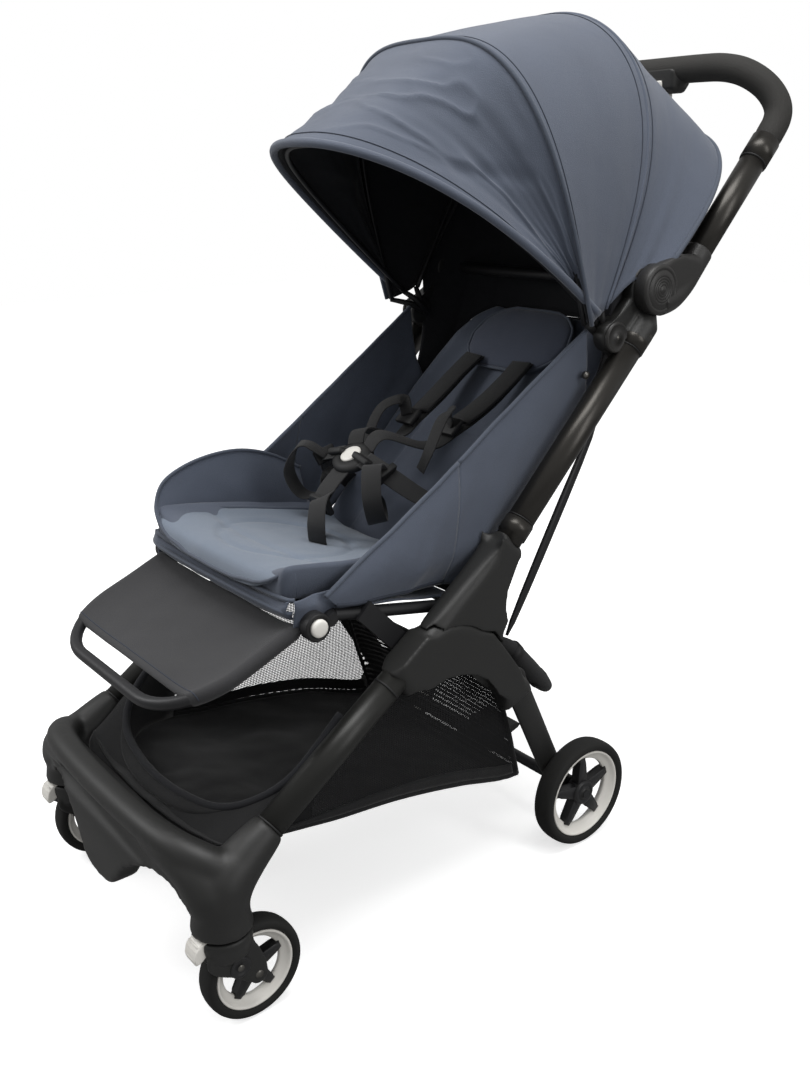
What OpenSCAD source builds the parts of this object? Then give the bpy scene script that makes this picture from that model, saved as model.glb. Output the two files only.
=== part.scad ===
// Compact folding baby stroller, standing open on its wheels.
// Millimetres. +X is the child's left side, -Y is the front, +Z is up, the floor is Z = 0.

/* [Frame tubes] */
// outer radius of the frame tubes
tube_r = 17; // [14:20]
// wall of the frame tubes
tube_wall = 1.5; // [1:3]
// sideways distance of the tube axes from the middle
tube_x = 200; // [180:220]
// half width of the moulded joints that hold the tubes
joint_half = 19.5; // [19:24]
// depth that a tube goes into a moulding
socket_depth = 26; // [15:40]

/* [Front wheels] */
// front tyre radius
front_r = 61; // [50:70]
// front tyre half width
front_half = 14; // [10:16]
// outer radius of the front rim
front_rim_r = 48.5; // [40:55]
// sideways distance of the front wheels
front_x = 206; // [190:215]
// front to back position of the front axle
front_y = -405; // [-440:-380]
// front to back position of the caster stem
stem_y = -436; // [-460:-420]

/* [Rear wheels] */
// rear tyre radius
rear_r = 77; // [65:90]
// rear tyre half width
rear_half = 15.5; // [10:18]
// outer radius of the rear rim
rear_rim_r = 63; // [50:70]
// sideways distance of the rear wheels
rear_x = 207; // [190:215]
// front to back position of the rear axle
rear_y = 130; // [100:160]

/* [Handle] */
// radius of the fold hinge discs
disc_r = 31; // [26:36]
// radius of the padded grip
grip_r = 18; // [16:20]
// height of the cross bar of the handle
bar_z = 1033; // [1000:1060]
// front to back position of the cross bar
bar_y = 452; // [430:480]
// half length of the fold housing under the cross bar
housing_half = 60; // [40:70]

/* [Canopy] */
// height of the canopy bows above the hub
bow_r = 378; // [360:395]
// corner radius of the canopy bows
bow_corner = 120; // [80:140]
// half width of the canopy bows
bow_x = 188; // [180:194]
// thickness of the canopy cloth
cloth = 1.6; // [1:3]
// forward tilt of the visor bow
visor_tilt = 49; // [30:60]
// forward tilt of the middle bow
middle_tilt = 21; // [10:30]
// backward tilt of the rear bow
rear_tilt = 14; // [5:25]

/* [Seat] */
// half width of the seat and back cushions
seat_half = 158; // [140:165]
// thickness of the back cushion
back_thick = 30; // [20:40]
// length of the back cushion along its face
back_length = 430; // [400:440]

/* [Leg rest] */
// half width of the leg rest bar
loop_x = 158; // [150:160]
// reach of the leg rest bar from its pivot
loop_reach = 200; // [190:235]
// corner radius of the leg rest bar
loop_bend = 84; // [60:100]
// slope of the leg rest below level
rest_slope = 22; // [0:45]

/* [Basket] */
// half width of the basket
basket_half = 171; // [150:175]
// thickness of the basket cloth
basket_cloth = 2; // [1:3]

/* [Hidden] */
$fn = 48;
eps = 0.05;
gap = 0.6;
run = 0.05;
ball_over = 0.2;
fold_front = [-158, 390];
fold_upper = [-29, 486];
disc_at = [228, 760];
leg_pivot = [4, 288];
rest_pivot = [-279, 430];
hub_at = [167, 705];
crease = [-55, 405];
strut_top = [165, 592];
strut_low = [14, 336];
rear_z = rear_r;
front_z = front_r;
front_path = [[-404, 196], [-172, 359]];
upper_path = [[-13, 476.1], [217, 712]];
arm_path = [[300, 778], [450, 939]];
front_x_out = front_x + front_half;

// a plate: the outline is drawn as (Y, Z) and runs from X = low to X = high
module plate(low, high) {
  translate([low, 0, 0]) rotate([90, 0, 90]) linear_extrude(high - low) children();
}

// a round bar along X at (Y, Z)
module cross(at, r, low, high) {
  translate([low, at[0], at[1]]) rotate([0, 90, 0]) cylinder(r = r, h = high - low);
}

// a round bar between two points
module rod(a, b, r) {
  d = b - a;
  len = norm(d);
  translate(a) rotate([0, acos(d[2] / len), atan2(d[1], d[0])]) cylinder(r = r, h = len);
}

// round bars through a list of points, with balls at the bends
module run_of(points, r) {
  for (i = [0 : len(points) - 2]) rod(points[i], points[i + 1], r);
  for (i = [1 : 1 : len(points) - 2]) translate(points[i]) sphere(r = r + ball_over);
}

function lift(path, x) = [for (p = path) [x, p[0], p[1]]];
function along(a, b, t) = a + (b - a) * t;

module right() {
  mirror([1, 0, 0]) children();
}

// a tube following a side view path on the left side
module tube_on(path, grow = 0) {
  run_of(lift(path, tube_x), tube_r + grow);
}

module hollow_on(path) {
  difference() {
    tube_on(path);
    for (i = [0 : len(path) - 2]) rod(lift(path, tube_x)[i], lift(path, tube_x)[i + 1], tube_r - tube_wall);
  }
}

/* ---- front frame ---- */
module front_tube_left() {
  color("#3b3c39") hollow_on(front_path);
}

module front_tube_right() {
  right() front_tube_left();
}

module leg_and_elbow() {
  hull() {
    translate([tube_x + 5, stem_y, 128]) cylinder(r = 33, h = 42, $fn = 32);
    translate([tube_x + 2, -414, 186]) sphere(r = 26, $fn = 32);
  }
  hull() {
    translate([tube_x + 2, -414, 186]) sphere(r = 25, $fn = 32);
    rod([tube_x, -372, 218.5], [tube_x, -368, 221.3], 20.5, $fn = 32);
  }
}

module apron_outline() {
  polygon([[-190, 222], [-120, 232], [0, 236], [120, 232], [190, 222], [190, 140],
    [174, 162], [150, 172], [110, 167], [74, 152], [56, 128], [34, 111], [0, 105],
    [-34, 111], [-56, 128], [-74, 152], [-110, 167], [-150, 172], [-174, 162], [-190, 140]]);
}

module apron_panel() {
  intersection() {
    translate([0, -380, 0]) rotate([90, 0, 0]) linear_extrude(120) apron_outline();
    difference() {
      translate([0, 240, 60]) cylinder(r = 732, h = 200, $fn = 96);
      translate([0, 240, 50]) cylinder(r = 706, h = 220, $fn = 96);
    }
  }
}

module stem_hole() {
  translate([tube_x + 5, stem_y, 120]) cylinder(r = 8 + run, h = 46);
}

module front_apron() {
  color("#3b3c39") difference() {
    union() {
      leg_and_elbow();
      right() leg_and_elbow();
      apron_panel();
    }
    tube_on(front_path, eps);
    right() tube_on(front_path, eps);
    stem_hole();
    right() stem_hole();
  }
}

module arch_left() {
  color("#3b3c39") difference() {
    plate(tube_x - joint_half, tube_x + joint_half) polygon([
      [-200, 362], [-188, 370.5], [-166, 385], [-156, 391], [-138, 402], [-120, 405],
      [-100, 403], [-82, 397], [-64, 386], [-48, 371], [-34, 353], [-20, 332], [-6, 314],
      [20, 294], [26, 280], [24, 268], [-19, 258], [-24, 278], [-34, 298], [-50, 318],
      [-72, 333], [-98, 341], [-124, 343], [-150, 337], [-174, 324]]);
    tube_on(front_path, eps);
    cross(fold_front, 6 + gap, tube_x - 8 - gap, tube_x + 8 + gap);
    plate(tube_x - 17, tube_x + 9) leg_slot();
  }
  color("#3b3c39") cross(fold_front, 2.5, tube_x - 8 - gap - eps, tube_x + 8 + gap + eps);
  color("#3b3c39") cross(leg_pivot, 4, tube_x - 9 - eps, tube_x + 9 + eps);
}

module arch_right() {
  right() arch_left();
}

// room for the leg top to turn inside the arch
module leg_slot() {
  translate(leg_pivot) circle(r = 21);
  polygon([[-40, 250], [-34, 300], [4, 309], [25, 300], [60, 250]]);
}

/* ---- seat ---- */
module seat_frame() {
  color("#2a2a2c") {
    difference() {
      union() {
        run_of([[168, -62, 398], [168, -250, 434]], 7.5);
        run_of([[-168, -62, 398], [-168, -250, 434]], 7.5);
        cross(rest_pivot, 17, 168.5, 181);
        cross(rest_pivot, 17, -181, -168.5);
        hull() {
          cross([-256, 431.5], 7.5, 170, 176, $fn = 32);
          cross([-250, 433], 7.5, 161, 169, $fn = 32);
        }
        hull() {
          cross([-256, 431.5], 7.5, -176, -170, $fn = 32);
          cross([-250, 433], 7.5, -169, -161, $fn = 32);
        }
      }
      cross(rest_pivot, 10 + run, 172, 190);
      cross(rest_pivot, 10 + run, -190, -172);
    }
    cross([-236, 431], 6, -168, 168);
    cross([-66, 398.8], 6, -168, 168);
    bracket_plate();
    right() bracket_plate();
  }
}

module bracket_plate() {
  plate(172, 180) polygon([[-224, 424], [-206, 442], [-150, 384], [-168, 366]]);
}

module seat_cushion() {
  color("#5c6674") plate(-seat_half, seat_half) polygon([
    [-300, 462], [-290, 455], [-240, 446], [-70, 411], [-66, 424], [-90, 438],
    [-150, 446], [-220, 456], [-262, 467], [-285, 472], [-299, 469]]);
}

module crotch_strap() {
  color("#17181a") plate(-16, 16) polygon([[-150, 447.5], [-142, 446], [-104, 512], [-110, 516]]);
}

module buckle() {
  color("#17181a") difference() {
    hull() {
      rod([-26, -105, 517], [-26, -84, 553], 9, $fn = 24);
      rod([26, -105, 517], [26, -84, 553], 9, $fn = 24);
    }
    translate([0, -94.5, 535]) rotate([60, 0, 0]) cylinder(r = 11 + run, h = 16);
  }
}

module buckle_button() {
  color("#e9e5dc") translate([0, -94.5, 535]) rotate([60, 0, 0]) translate([0, 0, 4]) cylinder(r = 11, h = 7);
}

/* ---- basket ---- */
module basket() {
  color("#141518") difference() {
    plate(-basket_half, basket_half) polygon([[-424, 200], [-344, 190], [-255, 178],
      [-180, 168], [-65, 148], [36, 118], [42, 128], [-30, 282], [-54, 300], [-90, 312],
      [-124, 314], [-152, 306], [-300, 246], [-424, 208]]);
    plate(basket_cloth - basket_half, basket_half - basket_cloth) polygon([[-422, 202.2],
      [-344, 192.2], [-255, 180.2], [-180, 170.2], [-65, 150.2], [34.6, 120.6],
      [39.6, 128], [-31.8, 281], [-40, 340], [-422, 340]]);
  }
}

/* ---- front wheels ---- */
module fork() {
  translate([front_x - 1, stem_y, 112]) cylinder(r = 30, h = 15);
  translate([front_x - 1, stem_y, 120]) cylinder(r = 8, h = 44);
  hull() {
    translate([front_x - 1, stem_y, 113]) cylinder(r = 30, h = 3, $fn = 32);
    translate([front_x, stem_y - 20, 88]) sphere(r = 15, $fn = 32);
  }
  for (s = [-1, 1]) hull() {
    cross([stem_y, 104], 20, front_x + s * (front_half + 3.5) - 2.5, front_x + s * (front_half + 3.5) + 2.5, $fn = 32);
    cross([front_y, front_z], 11, front_x + s * (front_half + 3.5) - 2.5, front_x + s * (front_half + 3.5) + 2.5, $fn = 32);
  }
}

module caster_fork_left() {
  color("#3b3c39") {
    difference() {
      fork();
      cross([front_y, front_z], front_r + 3, front_x - front_half - 1, front_x + front_half + 1);
      lock_room();
    }
    cross([front_y, front_z], 5, front_x - front_half - 2, front_x + front_half + 2);
  }
}

module lock_room() {
  translate([front_x - 13, -486, 96]) cube([26, 30, 60]);
}

module caster_fork_right() {
  right() caster_fork_left();
}

module swivel_lock_left() {
  color("#e9e5dc") difference() {
    plate(front_x - 12, front_x + 12) polygon([[-458, 122], [-466, 126.5],
      [-476, 124], [-485, 104], [-480, 98], [-470, 110], [-458.5, 112]]);
    cross([-463, 118], 1.6, front_x - 13, front_x + 13);
  }
}

module swivel_lock_right() {
  right() swivel_lock_left();
}

// a ring turned about the wheel axis; the outline is (radius, sideways)
module ring(at, x) {
  translate([x, at[0], at[1]]) rotate([0, 90, 0]) rotate_extrude($fn = 96) children();
}

module tyre_outline(r, rim, half) {
  polygon([[rim, -half * 0.62], [rim + 2, -half * 0.86], [rim + (r - rim) * 0.45, -half],
    [r - 3.4, -half * 0.8], [r - 0.8, -half * 0.45], [r, -half * 0.18], [r, half * 0.18],
    [r - 0.8, half * 0.45], [r - 3.4, half * 0.8], [rim + (r - rim) * 0.45, half],
    [rim + 2, half * 0.86], [rim, half * 0.62]]);
}

module rim_outline(rim, deep, half) {
  polygon([[rim - eps, -half * 0.62], [rim - 2.5, -half * 0.78], [rim - deep, -half * 0.3],
    [rim - deep, half * 0.3], [rim - 2.5, half * 0.78], [rim - eps, half * 0.62]]);
}

module star(at, x, rim, half, core, bore) {
  difference() {
    union() {
      cross(at, core, x - half * 0.7, x + half * 0.7);
      for (i = [0 : 4]) translate([x, at[0], at[1]]) rotate([i * 72 + 20, 0, 0])
        translate([-half * 0.35, -5, core - 4]) cube([half * 0.7, 10, rim - core + 4 - 0.3]);
    }
    cross(at, bore + run, x - half, x + half);
  }
}

module front_tyre_left() {
  color("#1b1b1c") ring([front_y, front_z], front_x) tyre_outline(front_r, front_rim_r, front_half);
}

module front_rim_left() {
  color("#e9e5dc") ring([front_y, front_z], front_x) rim_outline(front_rim_r, 12, front_half);
}

module front_hub_left() {
  color("#26272a") star([front_y, front_z], front_x, front_rim_r - 12.1, front_half, 17, 5);
}

module front_tyre_right() {
  right() front_tyre_left();
}

module front_rim_right() {
  right() front_rim_left();
}

module front_hub_right() {
  right() front_hub_left();
}

/* ---- side brackets ---- */
module side_bracket_left() {
  color("#3b3c39") difference() {
    union() {
      plate(tube_x - joint_half, tube_x + joint_half) polygon([[-153, 394.6], [-138, 403.4],
        [-120, 406.3], [-100, 404.3], [-81, 398.2], [-63, 387], [-47, 372], [-33, 354],
        [-27, 343], [-25, 352], [-34, 376], [-38, 398], [-35, 424], [-24, 444],
        [-2.6, 460.4], [-28.2, 485], [-36, 482]]);
      cross(fold_front, 6, tube_x - 8, tube_x + 8);
    }
    cross(fold_front, 2.5 + run, tube_x - 9, tube_x + 9);
    cross(fold_upper, 6 + gap, tube_x - 8 - gap, tube_x + 8 + gap);
  }
  color("#3b3c39") cross(fold_upper, 2.5, tube_x - 8 - gap - eps, tube_x + 8 + gap + eps);
}

module side_bracket_right() {
  right() side_bracket_left();
}

/* ---- upper frame ---- */
module upper_tube_left() {
  color("#8f8b86") hollow_on(upper_path);
}

module upper_tube_right() {
  right() upper_tube_left();
}

// the lower collar, the disc half and the canopy hub of one side
module upper_hinge_left() {
  color("#3b3c39") difference() {
    union() {
      rod([tube_x, -14.4, 474.6], [tube_x, 10, 499.6], 19.5);
      plate(179, 199) union() {
        translate(disc_at) circle(r = disc_r);
        polygon([[198, 750], [254, 742], [238, 712], [200, 674], [180, 694]]);
        translate([192, 706]) circle(r = 19);
      }
      plate(179, 196) union() {
        translate(hub_at) circle(r = 19);
        polygon([[150, 700], [176, 722], [206, 706], [170, 662]]);
      }
      cross(fold_upper, 6, tube_x - 8, tube_x + 8);
      cross(disc_at, 7, 198, 214);
      cross(strut_top, 5, 172, 182);
      plate(180, 183.5) polygon([[157, 596], [166, 585], [150, 618], [120, 600]]);
    }
    tube_on(upper_path, eps);
    cross(fold_upper, 2.5 + run, tube_x - 9, tube_x + 9);
  }
}

module upper_hinge_right() {
  right() upper_hinge_left();
}

module back_cross_tube() {
  color("#2a2a2c") cross([238, 764], 8, -178.9, 178.9);
}

module side_panel_left() {
  color("#5c6674") plate(170, 171.8) polygon([[142, 715], [57, 660], [-72, 575], [-162, 518],
    [-262, 464], [-250, 452], [-163, 440], [-79, 431], [-30, 430], [40, 492], [150, 600], [172, 640]]);
}

module side_panel_right() {
  right() side_panel_left();
}

/* ---- back ---- */
function on_back(s, t) = crease + s * [0.7071, 0.7071] + t * [-0.7071, 0.7071];

module back_cushion() {
  color("#5c6674") plate(-seat_half, seat_half) polygon([on_back(10, -26), on_back(back_length - 6, -back_thick),
    on_back(back_length, -back_thick + 8), on_back(back_length, 2), on_back(back_length - 10, 8),
    on_back(240, 4), on_back(60, 0), on_back(14, -8)]);
}

module head_pad() {
  color("#4a5360") plate(-110, 110) polygon([on_back(322, 8.6), on_back(back_length - 16, 8.6),
    on_back(back_length - 24, 16), on_back(340, 18), on_back(324, 14)]);
}

module shoulder_straps() {
  color("#17181a") {
    shoulder_strap();
    right() shoulder_strap();
  }
}

module shoulder_strap() {
  translate([36, 0, 0]) plate(0, 30) polygon([on_back(300, 6), on_back(300, 9), on_back(120, 34), on_back(56, 70), on_back(54, 66), on_back(118, 31)]);
}

/* ---- handle ---- */
module handle_tube() {
  color("#8f8b86") {
    hollow_on(arm_path);
    right() hollow_on(arm_path);
  }
}

function grip_path(s) = [[s * tube_x, 446, 934.7], [s * tube_x, 470, 960], [s * 190, 473.8, 988],
  [s * 164, 464, 1016], [s * 128, bar_y, bar_z], [s * (housing_half + eps), bar_y, bar_z]];

module handle_grip() {
  color("#232426") difference() {
    union() {
      run_of(grip_path(1), grip_r);
      run_of(grip_path(-1), grip_r);
    }
    tube_on(arm_path, eps);
    right() tube_on(arm_path, eps);
  }
}

module fold_housing() {
  color("#2f3031") difference() {
    hull() {
      cross([bar_y, bar_z], grip_r, -housing_half, housing_half, $fn = 32);
      cross([bar_y - 6, bar_z - 17], grip_r - 4, 14 - housing_half, housing_half - 14, $fn = 32);
    }
    translate([-34 - run, bar_y - 60, bar_z - 26]) cube([68 + 2 * run, 52, 14]);
  }
}

module fold_button() {
  color("#e9e5dc") translate([-34, bar_y - 25, bar_z - 26 + run]) cube([68, 13, 14 - 2 * run]);
}

module handle_disc_left() {
  color("#55524d") difference() {
    union() {
      cross(disc_at, disc_r, 199.6, 219);
      cross(disc_at, disc_r - 8, 219, 221);
      cross(disc_at, 12, 221, 222.5);
      plate(199.6, 221) polygon([[236, 731], [214, 788], [282, 806], [312, 782], [290, 756]]);
      rod([tube_x, 292, 769.4], [tube_x, 320, 799.4], 19.5);
    }
    tube_on(arm_path, eps);
    cross(disc_at, 7 + run, 190, 214.5);
    plate(170, 199.5) translate(disc_at) circle(r = 40);
  }
}

module handle_disc_right() {
  right() handle_disc_left();
}

/* ---- rear legs ---- */
module rear_leg_left() {
  color("#3b3c39") difference() {
    union() {
      cross(leg_pivot, 16, tube_x - 8, tube_x + 8);
      hull() {
        cross([6, 280], 14, tube_x - 8, tube_x + 8, $fn = 32);
        cross([84, 122], 14, 174, 189, $fn = 32);
      }
      hull() {
        cross([84, 122], 14, 174, 189, $fn = 32);
        cross([rear_y, rear_z], 13, 174, 189.5, $fn = 32);
      }
    }
    cross(leg_pivot, 4 + run, tube_x - 12, tube_x + 12);
    cross([rear_y, rear_z], 8 + eps, 160, 186 + eps);
    cross([rear_y, rear_z], 6 + eps, 180, 194);
  }
}

module rear_leg_right() {
  right() rear_leg_left();
}

module rear_axle() {
  color("#2a2a2c") {
    cross([rear_y, rear_z], 8, -186, 186);
    cross([rear_y, rear_z], 6, -221, 221);
  }
}

module brake_pedal() {
  color("#3b3c39") difference() {
    union() {
      cross([rear_y, rear_z], 13, -40, 40);
      plate(-34, 34) polygon([[134, 74], [138, 90], [176, 98], [182, 92], [178, 88]]);
    }
    cross([rear_y, rear_z], 8 + run, -50, 50);
  }
}

module rear_tyre_left() {
  color("#1b1b1c") ring([rear_y, rear_z], rear_x) tyre_outline(rear_r, rear_rim_r, rear_half);
}

module rear_rim_left() {
  color("#e9e5dc") ring([rear_y, rear_z], rear_x) rim_outline(rear_rim_r, 14, rear_half);
}

module rear_hub_left() {
  color("#26272a") star([rear_y, rear_z], rear_x, rear_rim_r - 14, rear_half, 20, 6);
}

module rear_tyre_right() {
  right() rear_tyre_left();
}

module rear_rim_right() {
  right() rear_rim_left();
}

module rear_hub_right() {
  right() rear_hub_left();
}

module strut_left() {
  color("#2a2a2c") difference() {
    union() {
      plate(173, 176) hull() {
        translate(strut_top) circle(r = 8, $fn = 32);
        translate(strut_low) circle(r = 7, $fn = 32);
      }
    }
    cross(strut_top, 5 + run, 170, 180);
  }
}

module strut_right() {
  right() strut_left();
}

/* ---- leg rest ---- */
module leg_rest_frame() {
  color("#2a2a2c") {
    rest_arm();
    right() rest_arm();
    translate([0, rest_pivot[0], rest_pivot[1]]) rotate([rest_slope, 0, 0]) loop_bar();
  }
}

// the bent bar of the leg rest, flat in its own plane
module loop_bar() {
  rod([loop_x, -8, 0], [loop_x, loop_bend - loop_reach, 0], 7);
  rod([-loop_x, -8, 0], [-loop_x, loop_bend - loop_reach, 0], 7);
  rod([loop_bend - loop_x, -loop_reach, 0], [loop_x - loop_bend, -loop_reach, 0], 7);
  for (s = [0, 1]) mirror([s, 0, 0]) translate([loop_x - loop_bend, loop_bend - loop_reach, 0])
    rotate([0, 0, -90]) rotate_extrude(angle = 90, $fn = 96) translate([loop_bend, 0]) circle(r = 7, $fn = 24);
}

module rest_arm() {
  difference() {
    cross(rest_pivot, 13, 151, 168);
    cross(rest_pivot, 4 + run, 150, 170);
  }
}

module leg_rest_panel() {
  color("#2b2c2f") plate(-149, 149) polygon([[-299, 441], [-302, 434], [-423, 380.5],
    [-428.3, 380.5], [-427.4, 386.2], [-307, 445.5]]);
}

module rest_button_left() {
  color("#e9e5dc") cross(rest_pivot, 10, 174.5, 181.4);
}

module rest_button_right() {
  right() rest_button_left();
}

/* ---- canopy ---- */
// the outline of a bow as (height, sideways), one strip wide by t
module bow_outline(r, half, t) {
  difference() {
    bow_shape(r, half);
    bow_shape(r - t, half - t);
    translate([-400, -300]) square([400 + 24, 600]);
  }
}

module bow_shape(r, half) {
  translate([-10, -half]) square([r - bow_corner + 10, 2 * half]);
  translate([-10, -half + bow_corner]) square([r + 10, 2 * (half - bow_corner)]);
  translate([r - bow_corner, half - bow_corner]) circle(r = bow_corner);
  translate([r - bow_corner, bow_corner - half]) circle(r = bow_corner);
}

// turns a (height, sideways) outline about the hub axis, forward from tilt by sweep degrees
module swept(tilt, sweep) {
  translate([0, hub_at[0], hub_at[1]]) rotate([tilt + 180, 0, 0]) rotate([0, 90, 0])
    rotate_extrude(angle = sweep, $fn = 96) children();
}

module bow(tilt, r, low) {
  translate([0, hub_at[0], hub_at[1]]) rotate([tilt, 0, 0]) {
    difference() {
      union() {
        for (s = [-1, 1]) {
          rod([s * low, 0, 0], [s * low, 0, r - bow_corner], 3);
          translate([s * (low - bow_corner), 0, r - bow_corner]) rotate([90, 0, 0])
            rotate([0, 0, s > 0 ? 0 : 90]) rotate_extrude(angle = 90, $fn = 96)
              translate([bow_corner, 0]) circle(r = 3, $fn = 24);
        }
        rod([bow_corner - low, 0, r], [low - bow_corner, 0, r], 3);
      }
      cube([2 * low + 20, 16, 40], center = true);
    }
  }
}

module rear_bow() {
  color("#2a2a2c") bow(-rear_tilt, bow_r + 8, bow_x - 8);
}

module middle_bow() {
  color("#2a2a2c") bow(middle_tilt, bow_r, bow_x - 8);
}

module visor_bow() {
  color("#5c6674") bow(visor_tilt, bow_r - 4, bow_x - 8);
}

module rear_canopy() {
  color("#5c6674") difference() {
    swept(-rear_tilt - 26, rear_tilt + 25 + middle_tilt) bow_outline(bow_r + 14, bow_x - 2, cloth);
    cross(disc_at, disc_r + 12, -200, 200);
  }
}

module middle_canopy() {
  color("#5c6674") swept(middle_tilt + 0.5, visor_tilt - middle_tilt) bow_outline(bow_r + 6, bow_x - 2, cloth);
}

front_tube_left();
front_tube_right();
front_apron();
arch_left();
arch_right();
seat_frame();
seat_cushion();
crotch_strap();
buckle();
buckle_button();
basket();
caster_fork_left();
caster_fork_right();
swivel_lock_left();
swivel_lock_right();
front_tyre_left();
front_rim_left();
front_hub_left();
front_tyre_right();
front_rim_right();
front_hub_right();
side_bracket_left();
side_bracket_right();
upper_tube_left();
upper_tube_right();
upper_hinge_left();
upper_hinge_right();
back_cross_tube();
side_panel_left();
side_panel_right();
back_cushion();
head_pad();
shoulder_straps();
handle_tube();
handle_grip();
handle_disc_left();
handle_disc_right();
fold_housing();
fold_button();
rear_leg_left();
rear_leg_right();
rear_axle();
brake_pedal();
rear_tyre_left();
rear_rim_left();
rear_hub_left();
rear_tyre_right();
rear_rim_right();
rear_hub_right();
strut_left();
strut_right();
leg_rest_frame();
leg_rest_panel();
rest_button_left();
rest_button_right();
rear_bow();
middle_bow();
visor_bow();
rear_canopy();
middle_canopy();
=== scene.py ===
"""Visual model of a compact folding stroller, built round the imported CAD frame. Lengths are in mm unless said."""
import math

import bmesh
import bpy
from mathutils import Matrix, Vector, noise


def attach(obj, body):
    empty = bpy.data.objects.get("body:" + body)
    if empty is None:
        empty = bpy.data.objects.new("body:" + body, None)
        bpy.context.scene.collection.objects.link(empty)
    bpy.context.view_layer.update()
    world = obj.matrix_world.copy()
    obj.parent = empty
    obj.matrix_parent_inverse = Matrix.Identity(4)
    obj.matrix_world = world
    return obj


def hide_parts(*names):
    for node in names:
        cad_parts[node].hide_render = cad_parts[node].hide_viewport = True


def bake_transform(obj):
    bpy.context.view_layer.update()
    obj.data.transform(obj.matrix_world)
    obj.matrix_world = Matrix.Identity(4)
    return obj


MM = 0.001
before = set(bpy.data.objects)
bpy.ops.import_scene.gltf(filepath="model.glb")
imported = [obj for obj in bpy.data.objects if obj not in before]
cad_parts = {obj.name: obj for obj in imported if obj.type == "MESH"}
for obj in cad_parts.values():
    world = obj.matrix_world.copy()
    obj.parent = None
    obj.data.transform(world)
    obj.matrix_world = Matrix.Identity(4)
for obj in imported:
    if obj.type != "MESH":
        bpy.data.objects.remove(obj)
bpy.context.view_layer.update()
SIDES = (("left", 1), ("right", -1))
# axes seen along X, as (y, z)
FRONT_WHEEL, REAR_WHEEL = (-405, 61), (130, 77)
CANOPY_HUB, HANDLE_HUB, REST_HUB = (167, 705), (228, 760), (-279, 430)


# ---------------------------------------------------------------- materials
def srgb(r, g, b):
    return [((c / 255) / 12.92 if c / 255 <= 0.04045 else ((c / 255 + 0.055) / 1.055) ** 2.4)
        for c in (r, g, b)] + [1]


def node(t, kind, **sets):
    n = t.nodes.new(kind)
    for k, v in sets.items():
        if hasattr(n, k) and k not in n.inputs:
            setattr(n, k, v)
        else:
            n.inputs[k.replace("_", " ")].default_value = v
    return n


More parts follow.
